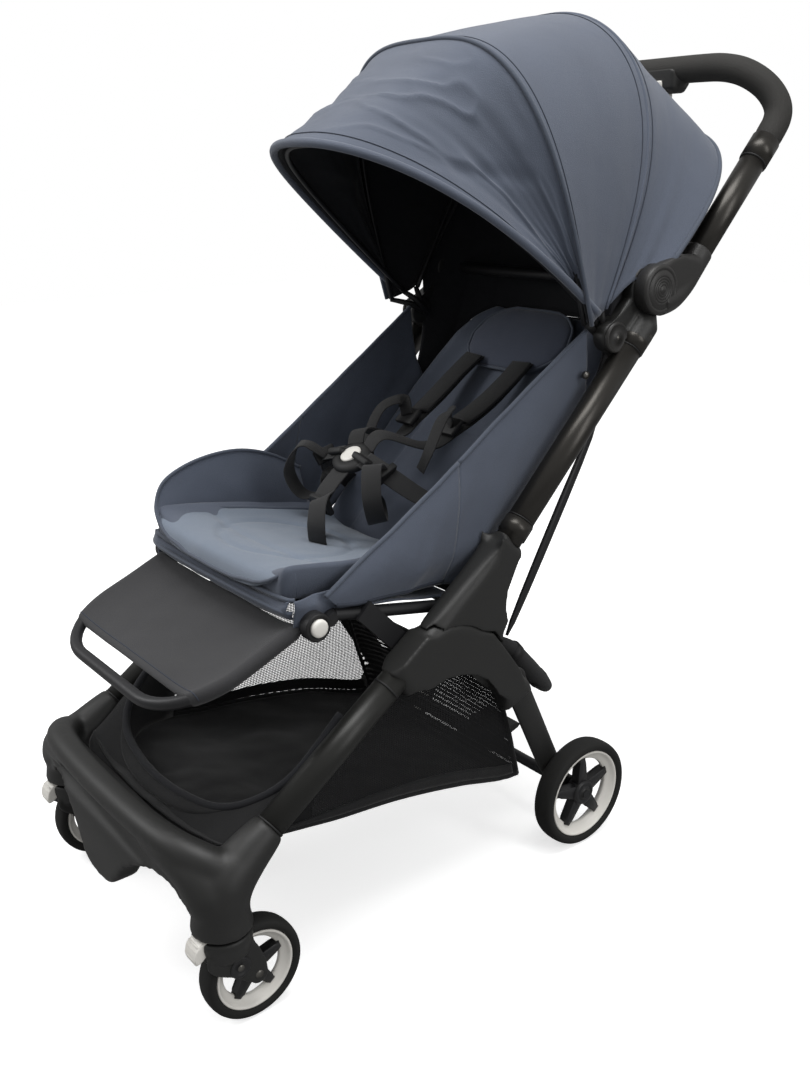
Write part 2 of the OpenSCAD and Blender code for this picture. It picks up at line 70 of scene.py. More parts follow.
def material(name, color, rough, metallic=0.0, grain=(900, 0.12), wear=(9, 0.08), fold=None, sheen=0.0,
             weave=None, coat=0.0, holes=None, spec=0.5, fleck=0.0):
    """Principled material with colour variation, fine grain or weave, and soft folds in its bump."""
    m = bpy.data.materials.new(name)
    m.use_nodes = True
    t = m.node_tree
    t.nodes.clear()
    out = node(t, "ShaderNodeOutputMaterial")
    p = node(t, "ShaderNodeBsdfPrincipled")
    t.links.new(p.outputs[0], out.inputs[0])
    p.inputs["Metallic"].default_value = metallic
    p.inputs["Sheen Weight"].default_value = sheen
    p.inputs["Sheen Roughness"].default_value = 0.45
    p.inputs["Coat Weight"].default_value = coat
    p.inputs["Specular IOR Level"].default_value = spec
    co = node(t, "ShaderNodeTexCoord")
    big = node(t, "ShaderNodeTexNoise", Scale=wear[0], Detail=4.0, Roughness=0.6)
    fine = node(t, "ShaderNodeTexNoise", Scale=grain[0], Detail=2.0, Roughness=0.5)
    t.links.new(co.outputs["Object"], big.inputs["Vector"])
    t.links.new(co.outputs["Object"], fine.inputs["Vector"])
    ramp = node(t, "ShaderNodeMapRange")
    t.links.new(big.outputs["Fac"], ramp.inputs["Value"])
    ramp.inputs["From Min"].default_value = 0.3
    ramp.inputs["From Max"].default_value = 0.7
    ramp.inputs["To Min"].default_value = 1 - wear[1]
    ramp.inputs["To Max"].default_value = 1 + wear[1]
    tint = node(t, "ShaderNodeMix", data_type="RGBA", blend_type="MULTIPLY")
    tint.inputs[0].default_value = 1
    tint.inputs[6].default_value = color
    t.links.new(ramp.outputs[0], tint.inputs[7])
    last = tint.outputs[2]
    if fleck:
        spot = node(t, "ShaderNodeMapRange")
        t.links.new(fine.outputs["Fac"], spot.inputs["Value"])
        spot.inputs["From Min"].default_value = 0.35
        spot.inputs["From Max"].default_value = 0.65
        spot.inputs["To Min"].default_value = 1 - fleck
        spot.inputs["To Max"].default_value = 1 + fleck
        mix = node(t, "ShaderNodeMix", data_type="RGBA", blend_type="MULTIPLY")
        mix.inputs[0].default_value = 1
        t.links.new(last, mix.inputs[6])
        t.links.new(spot.outputs[0], mix.inputs[7])
        last = mix.outputs[2]
    t.links.new(last, p.inputs["Base Color"])
    rr = node(t, "ShaderNodeMapRange")
    t.links.new(big.outputs["Fac"], rr.inputs["Value"])
    rr.inputs["To Min"].default_value = max(rough - 0.07, 0.03)
    rr.inputs["To Max"].default_value = min(rough + 0.07, 1)
    t.links.new(rr.outputs[0], p.inputs["Roughness"])
    height = fine.outputs["Fac"]
    if weave:
        vo = node(t, "ShaderNodeTexVoronoi", Scale=weave)
        t.links.new(co.outputs["Object"], vo.inputs["Vector"])
        add = node(t, "ShaderNodeMath", operation="ADD")
        t.links.new(vo.outputs["Distance"], add.inputs[0])
        t.links.new(height, add.inputs[1])
        height = add.outputs[0]
    bump = node(t, "ShaderNodeBump", Strength=grain[1], Distance=0.0006)
    t.links.new(height, bump.inputs["Height"])
    if fold:
        soft = node(t, "ShaderNodeTexNoise", Scale=fold[0], Detail=2.0, Roughness=0.45, Distortion=0.6)
        t.links.new(co.outputs["Object"], soft.inputs["Vector"])
        b2 = node(t, "ShaderNodeBump", Strength=fold[1], Distance=0.02)
        t.links.new(soft.outputs["Fac"], b2.inputs["Height"])
        t.links.new(b2.outputs[0], bump.inputs["Normal"])
    t.links.new(bump.outputs[0], p.inputs["Normal"])
    if holes:
        sep = node(t, "ShaderNodeSeparateXYZ")
        t.links.new(co.outputs["Object"], sep.inputs[0])
        waves = []
        for a, b, s in ((1, 2, 1.0), (1, 2, -1.0)):
            k1 = node(t, "ShaderNodeMath", operation="MULTIPLY")
            k1.inputs[1].default_value = s
            t.links.new(sep.outputs[b], k1.inputs[0])
            k2 = node(t, "ShaderNodeMath", operation="ADD")
            t.links.new(sep.outputs[a], k2.inputs[0])
            t.links.new(k1.outputs[0], k2.inputs[1])
            k3 = node(t, "ShaderNodeMath", operation="MULTIPLY")
            k3.inputs[1].default_value = holes
            t.links.new(k2.outputs[0], k3.inputs[0])
            k4 = node(t, "ShaderNodeMath", operation="SINE")
            t.links.new(k3.outputs[0], k4.inputs[0])
            waves.append(k4)
        prod = node(t, "ShaderNodeMath", operation="MULTIPLY")
        t.links.new(waves[0].outputs[0], prod.inputs[0])
        t.links.new(waves[1].outputs[0], prod.inputs[1])
        cut = node(t, "ShaderNodeMath", operation="LESS_THAN")
        cut.inputs[1].default_value = 0.12
        t.links.new(prod.outputs[0], cut.inputs[0])
        t.links.new(cut.outputs[0], p.inputs["Alpha"])
    return m


GREY_BLUE = srgb(80, 87, 101)
MAT = {
    "frame": material("frame", srgb(31, 31, 30), 0.5, grain=(1400, 0.25), wear=(7, 0.06)),
    "tube": material("tube", srgb(38, 38, 36), 0.42, metallic=0.35, grain=(1600, 0.1), wear=(5, 0.05)),
    # light: the upper and handle tubes. They are the same black anodised tube as tube, and their lighter grey base
    # colour is painted highlight taken from their lit sides
    "light": material("light", srgb(62, 60, 57), 0.36, metallic=0.75, grain=(1500, 0.08), wear=(6, 0.05)),
    "disc": material("disc", srgb(38, 37, 36), 0.45, grain=(1300, 0.2), wear=(8, 0.06)),
    "steel": material("steel", srgb(32, 32, 34), 0.45, metallic=0.2, grain=(1300, 0.15), wear=(9, 0.06)),
    "cloth": material("cloth", GREY_BLUE, 0.85, grain=(1500, 0.5), wear=(14, 0.05), fold=(9, 0.12), sheen=0.25,
        weave=900, fleck=0.1),
    "seat": material("seat", GREY_BLUE, 0.88, grain=(1500, 0.5), wear=(12, 0.05), fold=(11, 0.1), sheen=0.25,
        weave=900, fleck=0.1),
    "lobe": material("lobe", srgb(110, 120, 134), 0.9, grain=(1500, 0.5), wear=(12, 0.04), fold=(10, 0.08), sheen=0.3,
        weave=800, fleck=0.08),
    "head": material("head", srgb(66, 72, 87), 0.88, grain=(1500, 0.5), wear=(12, 0.05), sheen=0.2, weave=900,
        fleck=0.1),
    "piping": material("piping", srgb(72, 79, 92), 0.8, grain=(1200, 0.4), wear=(20, 0.05), sheen=0.2, weave=1200,
        fleck=0.06),
    "dark_seam": material("dark_seam", srgb(52, 57, 68), 0.9, grain=(1200, 0.4), wear=(20, 0.05)),
    "lining": material("lining", srgb(20, 21, 26), 0.9, grain=(1400, 0.4), wear=(12, 0.08), fold=(8, 0.2), sheen=0.1,
        weave=900),
    "basket": material("basket", srgb(11, 11, 13), 0.9, grain=(1400, 0.5), wear=(12, 0.12), fold=(8, 0.3), sheen=0.15,
        weave=900, fleck=0.1),
    "mesh": material("mesh", srgb(18, 18, 20), 0.85, grain=(1400, 0.3), wear=(12, 0.1), holes=2 * math.pi / 0.0052),
    "panel": material("panel", srgb(48, 48, 50), 0.88, grain=(1500, 0.5), wear=(10, 0.05), fold=(7, 0.12), sheen=0.15,
        weave=1000, fleck=0.07),
    "web": material("web", srgb(33, 33, 34), 0.8, grain=(1500, 0.5), wear=(30, 0.08), weave=1300, fleck=0.1,
        sheen=0.1),
    "black": material("black", srgb(19, 19, 20), 0.6, grain=(1300, 0.2), wear=(12, 0.1)),
    "tyre": material("tyre", srgb(31, 31, 30), 0.8, grain=(1100, 0.5), wear=(16, 0.08), spec=0.35),
    "rim": material("rim", srgb(242, 239, 232), 0.42, grain=(900, 0.06), wear=(12, 0.02)),
    "white": material("white", srgb(244, 241, 234), 0.38, grain=(900, 0.06), wear=(12, 0.02)),
    "hub": material("hub", srgb(27, 27, 29), 0.45, grain=(1300, 0.2), wear=(10, 0.06)),
    "grip": material("grip", srgb(46, 45, 43), 0.72, grain=(1000, 0.8), wear=(16, 0.07), weave=1100, spec=0.35),
    "screw": material("screw", srgb(110, 108, 104), 0.35, metallic=0.9, grain=(900, 0.05), wear=(20, 0.05)),
}


# ---------------------------------------------------------------- mesh helpers (millimetres in, metres out)
def add(name, verts, faces, mat, body, replaces=()):
    me = bpy.data.meshes.new(name)
    me.from_pydata([Vector(v) * MM for v in verts], [], faces)
    me.validate()
    return place(name, me, mat, body, replaces)


def coat(ob, mat):
    """Smooth shading and one material."""
    for p in ob.data.polygons:
        p.use_smooth = True
    ob.data.materials.clear()
    ob.data.materials.append(MAT[mat])


def place(name, me, mat, body, replaces=()):
    bm = bmesh.new()
    bm.from_mesh(me)
    bmesh.ops.remove_doubles(bm, verts=bm.verts, dist=1e-6)
    bmesh.ops.recalc_face_normals(bm, faces=bm.faces)
    bm.to_mesh(me)
    bm.free()
    ob = bpy.data.objects.new(name, me)
    bpy.context.scene.collection.objects.link(ob)
    coat(ob, mat)
    if body:
        own(ob, body, replaces)
    return ob


def own(ob, body, replaces=()):
    if body:
        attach(ob, body)
    if replaces:
        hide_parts(*replaces)


def apply_all(ob):
    dg = bpy.context.evaluated_depsgraph_get()
    dg.update()
    me = bpy.data.meshes.new_from_object(ob.evaluated_get(dg))
    old = ob.data
    ob.modifiers.clear()
    ob.data = me
    bpy.data.meshes.remove(old)
    return ob


def modify(ob, kind, **sets):
    m = ob.modifiers.new(kind.lower(), kind)
    for k, v in sets.items():
        setattr(m, k, v)
    return m


def flip_x(verts):
    return [(-x, y, z) for x, y, z in verts]


def spline(points, steps=8, closed=False):
    """Catmull-Rom curve through the points."""
    pts = [Vector(p) for p in points]
    n = len(pts)
    out = []
    for i in range(n if closed else n - 1):
        a, b, c, d = (pts[(i + k) % n] if closed else pts[min(max(i + k, 0), n - 1)] for k in (-1, 0, 1, 2))
        for s in range(steps):
            t = s / steps
            out.append(0.5 * (2 * b + (c - a) * t + (2 * a - 5 * b + 4 * c - d) * t * t
                + (3 * b - a - 3 * c + d) * t ** 3))
    if not closed:
        out.append(pts[-1].copy())
    return out


def sweep(path, radius, sides=20, closed=False, flat=1.0, up=(0, 0, 1)):
    """Verts and faces of a round or oval bar along the path. radius is a number or a list along the path."""
    pts = [Vector(p) for p in path]
    n = len(pts)
    rad = [radius] * n
    if not isinstance(radius, (int, float)):
        for i in range(n):
            t = i / (n - 1) * (len(radius) - 1)
            k = min(int(t), len(radius) - 2)
            rad[i] = radius[k] + (radius[k + 1] - radius[k]) * (t - k)
    verts, faces = [], []
    prev = None
    for i, p in enumerate(pts):
        a = pts[i - 1] if (i or closed) else pts[i]
        b = pts[(i + 1) % n] if (i < n - 1 or closed) else pts[i]
        d = (b - a).normalized()
        if prev is None:
            s = d.cross(Vector(up))
            if s.length < 1e-3:
                s = d.cross(Vector((1, 0, 0)))
            s.normalize()
        else:
            s = (prev - d * prev.dot(d)).normalized()
        prev = s
        q = d.cross(s)
        for k in range(sides):
            t = 2 * math.pi * k / sides
            verts.append(tuple(p + (s * math.cos(t) + q * math.sin(t) * flat) * rad[i]))
    for i in range(n if closed else n - 1):
        for k in range(sides):
            j, m = (i + 1) % n, (k + 1) % sides
            faces.append((i * sides + k, i * sides + m, j * sides + m, j * sides + k))
    if not closed:
        faces.append(tuple(range(sides - 1, -1, -1)))
        faces.append(tuple((n - 1) * sides + k for k in range(sides)))
    return verts, faces


def lathe(at, profile, n=72):
    """Turns (x, radius) pairs about the line along X through at, a (y, z) pair."""
    verts, faces = [], []
    m = len(profile)
    for i in range(n):
        t = 2 * math.pi * i / n
        for x, r in profile:
            verts.append((x, at[0] + r * math.cos(t), at[1] + r * math.sin(t)))
    for i in range(n):
        j = (i + 1) % n
        for k in range(m - 1):
            faces.append((i * m + k, i * m + k + 1, j * m + k + 1, j * m + k))
    return verts, faces


def prism(outline, x0, x1):
    """A plate from a (y, z) outline between two X values."""
    n = len(outline)
    verts = [(x0, y, z) for y, z in outline] + [(x1, y, z) for y, z in outline]
    faces = [tuple(range(n - 1, -1, -1)), tuple(range(n, 2 * n))]
    faces += [(i, (i + 1) % n, n + (i + 1) % n, n + i) for i in range(n)]
    return verts, faces


def bevelled(outline, x0, x1, width, seg=5):
    """A plate from a (y, z) outline with both its rims rounded."""
    verts, faces = prism(outline, x0, x1)
    bm = bmesh.new()
    vs = [bm.verts.new(v) for v in verts]
    for f in faces:
        bm.faces.new([vs[i] for i in f])
    n = len(outline)
    rim = {frozenset((k * n + i, k * n + (i + 1) % n)) for k in (0, 1) for i in range(n)}
    bm.verts.index_update()
    edges = [e for e in bm.edges if frozenset((e.verts[0].index, e.verts[1].index)) in rim]
    bmesh.ops.bevel(bm, geom=edges, offset=width, segments=seg, profile=0.5, affect="EDGES", clamp_overlap=False)
    bm.verts.index_update()
    out = [tuple(v.co) for v in bm.verts], [tuple(v.index for v in f.verts) for f in bm.faces]
    bm.free()
    return out


def rounded(points, rounds=2):
    """Chaikin smoothing of a closed 2D outline."""
    for _ in range(rounds):
        out = []
        for i, a in enumerate(points):
            b = points[(i + 1) % len(points)]
            out.append(tuple(a[k] * 0.75 + b[k] * 0.25 for k in range(len(a))))
            out.append(tuple(a[k] * 0.25 + b[k] * 0.75 for k in range(len(a))))
        points = out
    return points


def moulded(name, parts, mat, body, voxel=1.8, smooth=6, replaces=(), mirror=False):
    """Joins closed parts into one rounded moulding."""
    verts, faces = [], []
    for v, f in parts:
        if mirror:
            v, f = flip_x(v), [tuple(reversed(q)) for q in f]
        k = len(verts)
        verts += list(v)
        faces += [tuple(i + k for i in q) for q in f]
    me = bpy.data.meshes.new(name)
    me.from_pydata([Vector(v) * MM for v in verts], [], faces)
    ob = place(name, me, mat, None)
    modify(ob, "REMESH", mode="VOXEL", voxel_size=voxel * MM, adaptivity=0)
    modify(ob, "SMOOTH", factor=0.6, iterations=smooth)
    apply_all(ob)
    coat(ob, mat)
    own(ob, body, replaces)
    return ob


def bar(name, path, r, mat, body, sides=20, replaces=(), mirror=False, **k):
    v, f = sweep(path, r, sides, **k)
    return add(name, flip_x(v) if mirror else v, f, mat, body, replaces=replaces)


def turn(name, at, profile, n, mat, body, mirror=False, replaces=()):
    """One lathed piece, mirrored to the other side where mirror is true."""
    v, f = lathe(at, profile, n)
    return add(name, flip_x(v) if mirror else v, f, mat, body, replaces)


def grid(name, fn, nu, nv, mat, body, thick, offset=-1.0, replaces=()):
    """A sheet from fn(u, v) with u and v from 0 to 1, given a thickness in mm."""
    verts = [fn(i / nu, j / nv) for j in range(nv + 1) for i in range(nu + 1)]
    w = nu + 1
    faces = [(j * w + i, j * w + i + 1, (j + 1) * w + i + 1, (j + 1) * w + i) for j in range(nv) for i in range(nu)]
    ob = add(name, verts, faces, mat, None)
    modify(ob, "SOLIDIFY", thickness=thick * MM, offset=offset, use_even_offset=False)
    apply_all(ob)
    coat(ob, mat)
    if body:
        own(ob, body, replaces)
    elif replaces:
        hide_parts(*replaces)
    return ob


def lerp(table, t):
    """Looks t up in a list of (position, value)."""
    if t <= table[0][0]:
        return table[0][1]
    for (a, x), (b, y) in zip(table, table[1:]):
        if t <= b:
            return x + (y - x) * (t - a) / (b - a)
    return table[-1][1]


def ease(t):
    t = min(max(t, 0.0), 1.0)
    return t * t * (3 - 2 * t)


# ---------------------------------------------------------------- wheels
def wheel(tag, at, r, rim, half, deep, core, x, body):
    """A foam tyre, a deep white rim and a black five-arm hub."""
    y, z = at
    tyre = [(-half * 0.60, rim - 0.5), (-half * 0.86, rim + 1.5), (-half * 0.98, rim + (r - rim) * 0.3),
        (-half, rim + (r - rim) * 0.5)]
    for k in range(9):
        t = math.pi * (0.03 + 0.94 * k / 8)
        tyre.append((-half * 0.96 * math.cos(t), r - 5 + 5 * math.sin(t) ** 0.7))
    tyre += [(half, rim + (r - rim) * 0.5), (half * 0.98, rim + (r - rim) * 0.3), (half * 0.86, rim + 1.5),
        (half * 0.60, rim - 0.5)]
    tyre.append(tyre[0])
    turn("tyre_" + tag, at, [(x + a, b) for a, b in tyre], 96, "tyre", body,
        replaces=[f"{tag.split('_')[0]}_tyre_{tag.split('_')[1]}"])
    lip = half * 0.8
    ring = [(-lip, rim), (-lip - 0.6, rim - 1.2), (-lip, rim - 2.6), (-lip + 2.5, rim - 3.6),
        (-half * 0.3, rim - deep * 0.72),
            (-half * 0.2, rim - deep), (-half * 0.12, rim - deep - 1), (half * 0.12, rim - deep - 1),
            (half * 0.2, rim - deep), (half * 0.3, rim - deep * 0.72),
            (lip - 2.5, rim - 3.6), (lip, rim - 2.6), (lip + 0.6, rim - 1.2), (lip, rim), (-lip, rim)]
    turn("rim_" + tag, at, [(x + a, b) for a, b in ring], 96, "rim", body,
        replaces=[f"{tag.split('_')[0]}_rim_{tag.split('_')[1]}"])
    cap = [(-half * 0.72, 0), (-half * 0.72, core * 0.55), (-half * 0.66, core * 0.6), (-half * 0.66, core * 0.66),
        (-half * 0.72, core * 0.7),
           (-half * 0.68, core * 0.92), (-half * 0.5, core), (half * 0.5, core), (half * 0.68, core * 0.92),
           (half * 0.72, core * 0.7),
           (half * 0.66, core * 0.66), (half * 0.66, core * 0.6), (half * 0.72, core * 0.55), (half * 0.72, 0)]
    hv, hf = lathe(at, [(x + a, b) for a, b in cap], 48)
    parts_v, parts_f = list(hv), list(hf)
    for i in range(5):
        a = math.radians(i * 72 + 20)
        long = rim - deep + 1.5
        w0, w1, w2 = core * 0.64, core * 0.4, core * 0.27
        outline = [(core * 0.5, -w0), (core * 1.15, -w1), (long * 0.84, -w2), (long, -w2 * 1.15), (long, w2 * 1.15),
            (long * 0.84, w2), (core * 1.15, w1), (core * 0.5, w0)]
        pts = []
        for p, q in outline:
            pts.append((p * math.cos(a) - q * math.sin(a), p * math.sin(a) + q * math.cos(a)))
        bv, bf = bevelled([(y + p, z + q) for p, q in pts], x - half * 0.42, x + half * 0.42, 1.6, 3)
        k = len(parts_v)
        parts_v += bv
        parts_f += [tuple(t + k for t in q) for q in bf]
    add("hub_" + tag, parts_v, parts_f, "hub", body, replaces=[f"{tag.split('_')[0]}_hub_{tag.split('_')[1]}"])
    ob = bpy.data.objects["hub_" + tag]
    modify(ob, "WELD", merge_threshold=0.00005)
    apply_all(ob)
    m = ob.data.materials
    m.clear()
    m.append(MAT["hub"])
    for s in (-1, 1):
        turn(f"hub_cap_{tag}_{'in' if s < 0 else 'out'}", at,
            [(x + s * half * 0.72, 0.1), (x + s * (half * 0.72 + 1.6), 0.1),
                (x + s * (half * 0.72 + 1.6), core * 0.3), (x + s * (half * 0.72 + 0.8), core * 0.42),
                (x + s * half * 0.7, core * 0.44)], 32, "frame", body)


for side, sg in SIDES:
    wheel("front_" + side, FRONT_WHEEL, 61, 48.5, 14, 11, 15, 206 * sg, "front_wheel_" + side)
    wheel("rear_" + side, REAR_WHEEL, 77, 63, 15.5, 13, 18, 207 * sg, "rear_wheel_" + side)


# ---------------------------------------------------------------- front frame
def leg_parts():
    leg = sweep(spline([(205, -436, 128.6), (205, -436, 132), (205, -436, 148), (204.5, -433, 166), (203, -421, 183),
        (201, -401, 199), (200, -378, 214.5), (200, -366, 222.5)], 6),
                [35.5, 35.2, 32, 31.5, 29.5, 26.5, 22.5, 19], 40)
    saddle = sweep(spline([(206, -438, 150), (200, -444, 172), (182, -452, 192), (152, -462, 203), (110, -470, 207)],
        5), [29, 30, 25, 19, 14], 32)
    shoulder = sweep(spline([(205, -436, 160), (204, -428, 180), (202, -408, 196)], 5), [31, 30, 26], 32)
    return [leg, saddle, shoulder]


def bend(v):
    x, y, z = v
    return (x, y + x * x / 1464, z)


def apron_parts():
    top = spline([(203, -424, 190), (188, -444, 205), (160, -459, 214), (120, -467, 218), (60, -471, 219.5),
        (0, -472, 220)], 6)
    top += [Vector((-p.x, p.y, p.z)) for p in reversed(top[:-1])]
    bar_ = sweep(top, [24, 21, 19.5, 18.5, 18, 18, 18, 18.5, 19.5, 21, 24], 28, flat=0.95)
    half = [(0, 105), (22, 107), (36, 112), (50, 124), (60, 140), (72, 152), (88, 163), (110, 173), (138, 178),
        (158, 176), (172, 167), (184, 150), (196, 150), (206, 200), (186, 212), (150, 217), (60, 220), (0, 221)]
    out = [(x, z) for x, z in half] + [(-x, z) for x, z in reversed(half[1:-1])]
    v, f = bevelled(rounded(out, 2), -492, -460, 9, 5)
    v = [bend((b, a, c)) for a, b, c in v]
    return [bar_, (v, f)]


def both(parts):
    return parts + [(flip_x(v), [tuple(reversed(q)) for q in f]) for v, f in parts]


moulded("apron", both(leg_parts()) + apron_parts(), "frame", "front_frame", 2.2, 22, ["front_apron"])

ARCH = [(-202, 359), (-188, 369), (-166, 385), (-152, 394.5), (-138, 401), (-120, 404.5), (-100, 402.5), (-82, 396.5),
    (-64, 385.5), (-48, 370.5), (-34, 352.5),
        (-18, 331), (0, 306), (22, 282), (28, 268), (-18, 250), (-25, 274), (-35, 298), (-51, 318), (-72, 332),
        (-98, 340), (-124, 342), (-150, 336), (-178, 322)]
BRACKET = [(-150, 397.5), (-136, 403.5), (-119, 406.8), (-99, 404.8), (-80, 398.6), (-62, 387.4), (-46, 372.4),
    (-32, 354.4), (-25, 346), (-26, 360), (-34, 378),
           (-38.5, 398), (-36, 422), (-25, 444), (-4, 461), (3, 467), (-23, 492), (-30, 484), (-40, 478)]


def frame_side(side, sg):
    mir = sg < 0
    x0, x1 = 181.5, 218.5
    moulded("arch_" + side, [bevelled(ARCH, x0, x1, 14, 6)], "frame", "front_frame", 1.8, 7, ["arch_" + side], mir)
    moulded("bracket_" + side, [bevelled(BRACKET, x0, x1, 14, 6)], "frame", "side_brackets", 1.8, 6,
        ["side_bracket_" + side], mir)
    # small release slots on the outer face of the joint
    for k, (a, b) in enumerate((((-172, 372), (-152, 388)), ((-46, 456), (-32, 478)))):
        v, f = sweep(spline([(218 - 4, a[0], a[1]), (218 - 2, b[0], b[1])], 2), 1.0, 8)
        add(f"joint_slot_{side}_{k}", flip_x(v) if mir else v, f, "black", "front_frame" if k == 0
            else "side_brackets")
    front = [(200, -378, 214.3), (200, -172, 359)]
    bar("front_tube_" + side, front, 17, "tube", "front_frame", 40, ["front_tube_" + side], mir)
    for k, (a, b) in enumerate((((200, -366.5, 222.4), (200, -364.5, 223.8)),
            ((200, -203, 337.2), (200, -201, 338.6)))):
        bar(f"front_ring_{side}_{k}", [a, b], 17.6, "black", "front_frame", 40, (), mir)
    upper = [(200, -13, 476.1), (200, 219, 714)]
    # the upper tube's light material is the black tube with painted highlight in its grey base colour
    bar("upper_tube_" + side, upper, 17, "light", "upper_frame", 40, ["upper_tube_" + side], mir)
    for k, (a, b, r) in enumerate((((200, -6, 483.3), (200, 8, 497.7), 18.6),
            ((200, 8.8, 498.5), (200, 10, 499.7), 17.7), ((200, 192, 686.4), (200, 193.2, 687.6), 17.7),
            ((200, 194, 688.4), (200, 212, 706.8), 18.6))):
        bar(f"upper_collar_{side}_{k}", [a, b], r, "black" if k in (1, 2) else "light", "upper_frame", 40, (), mir)
    v, f = lathe(HANDLE_HUB, [(178.8, 0), (178.8, 27), (181, 30.5), (186, 31.5), (198, 31.5), (199.2, 30),
        (199.2, 0)], 72)
    inner = (v, f)
    web = bevelled([(198, 752), (250, 742), (236, 712), (214, 690), (196, 676), (176, 676), (152, 694), (150, 712),
        (166, 722)], 180, 198, 5, 4)
    hub = lathe(CANOPY_HUB, [(178.6, 0), (178.6, 19), (196, 19), (198.5, 17), (199, 0)], 56)
    arm = sweep([(200, 202, 696.6), (200, 219, 714), (194, 226, 728)], [18.8, 18.8, 16], 32)
    moulded("upper_hinge_" + side, [inner, web, hub, arm], "frame", "upper_frame", 1.8, 5, ["upper_hinge_" + side],
        mir)
    # canopy hub disc with its screw
    turn("canopy_hub_" + side, CANOPY_HUB, [(198, 0), (198, 17.5), (199.6, 19.5), (202, 19.5), (204, 18),
        (204.4, 16.4), (203.6, 15.8), (203.8, 6), (204.6, 5.4), (204.6, 0)], 56, "disc", "upper_frame", mir)
    turn("canopy_screw_" + side, CANOPY_HUB, [(204.2, 0), (204.2, 2.6), (205.2, 2.4), (205.6, 0)], 20, "screw",
        "upper_frame", mir)
    turn("wing_snap_" + side, (133, 660), [(182, 0), (182, 5), (186, 5), (188, 3.4), (188.6, 0)], 24, "screw",
        "upper_frame", mir)
    # handle disc with concentric rings
    rings = [(199.8, 0), (199.8, 30), (201.5, 31.5), (216, 31.5), (219, 30.2), (220.3, 27.8), (220.4, 25.6),
        (219.6, 25), (219.6, 24), (220.6, 23.2), (221.2, 18)]
    for r in (16, 12.5, 9):
        rings += [(221.3, r + 1.1), (220.7, r + 0.5), (220.7, r - 0.1), (221.5, r - 0.7)]
    rings += [(222, 6.6), (221.4, 6), (221.4, 5.4), (222.3, 4.8), (222.6, 0)]
    turn("disc_" + side, HANDLE_HUB, rings, 80, "disc", "handle", mir)
    collar = sweep(spline([(206, 236, 742), (203, 262, 748), (200, 286, 763), (200, 303, 781.2), (200, 322, 801.6)],
        6), [17, 18.5, 19.4, 19.2, 18.6], 36)
    lug = bevelled(rounded([(228, 733), (214, 788), (262, 800), (300, 800), (318, 784), (296, 752), (262, 734)], 1),
        200, 219, 8, 5)
    moulded("disc_arm_" + side, [collar, lug], "disc", "handle", 1.7, 7, ["handle_disc_" + side], mir)
    # the handle tube's light material is the black tube with painted highlight in its grey base colour
    bar("handle_tube_" + side, [(200, 305, 783.4), (200, 450, 939)], 17, "light", "handle", 40, ["handle_tube"]
        if sg > 0 else (), mir)
    bar(f"handle_line_{side}", [(200, 421.4, 908.2), (200, 422.6, 909.5)], 18.7, "black", "handle", 40, (), mir)
    bar(f"handle_collar_{side}", [(200, 423, 910), (200, 447, 935.8)], 19, "light", "handle", 40, (), mir)
    # rear leg: a flat oval bar that curves in to the axle
    path = spline([(200, 3, 290), (199, 13, 268), (192, 47, 206), (184, 84, 139), (182, 100, 112), (182, 114, 92),
        (182, 130, 77)], 8)
    leg = sweep(path, [17, 18, 18, 18, 17, 15, 13], 32, flat=0.45, up=(1, 0, 0))
    boss = lathe(REAR_WHEEL, [(174.5, 0), (174.5, 11), (176.5, 13.5), (187.5, 13.5), (189.4, 11.5), (189.4, 0)], 40)
    top = lathe((4, 288), [(192.5, 0), (192.5, 14), (194, 15.6), (206, 15.6), (207.5, 14), (207.5, 0)], 40)
    moulded("rear_leg_" + side, [leg, boss, top], "frame", "rear_legs", 1.8, 5, ["rear_leg_" + side], mir)
    # strut behind the upper tube
    strut = [(165, 592), (14, 336)]
    d = Vector((0, strut[1][0] - strut[0][0], strut[1][1] - strut[0][1])).normalized()
    nrm = (-d.z, d.y)
    out = [(strut[0][0] + nrm[0] * 7, strut[0][1] + nrm[1] * 7), (strut[1][0] + nrm[0] * 6, strut[1][1] + nrm[1] * 6),
           (strut[1][0] - nrm[0] * 6, strut[1][1] - nrm[1] * 6), (strut[0][0] - nrm[0] * 7, strut[0][1] - nrm[1] * 7)]
    v, f = bevelled(rounded(out, 2), 172.8, 176.6, 1.2, 3)
    add("strut_" + side, flip_x(v) if mir else v, f, "steel", "strut_" + side, replaces=["strut_" + side])


for side, sg in SIDES:
    frame_side(side, sg)


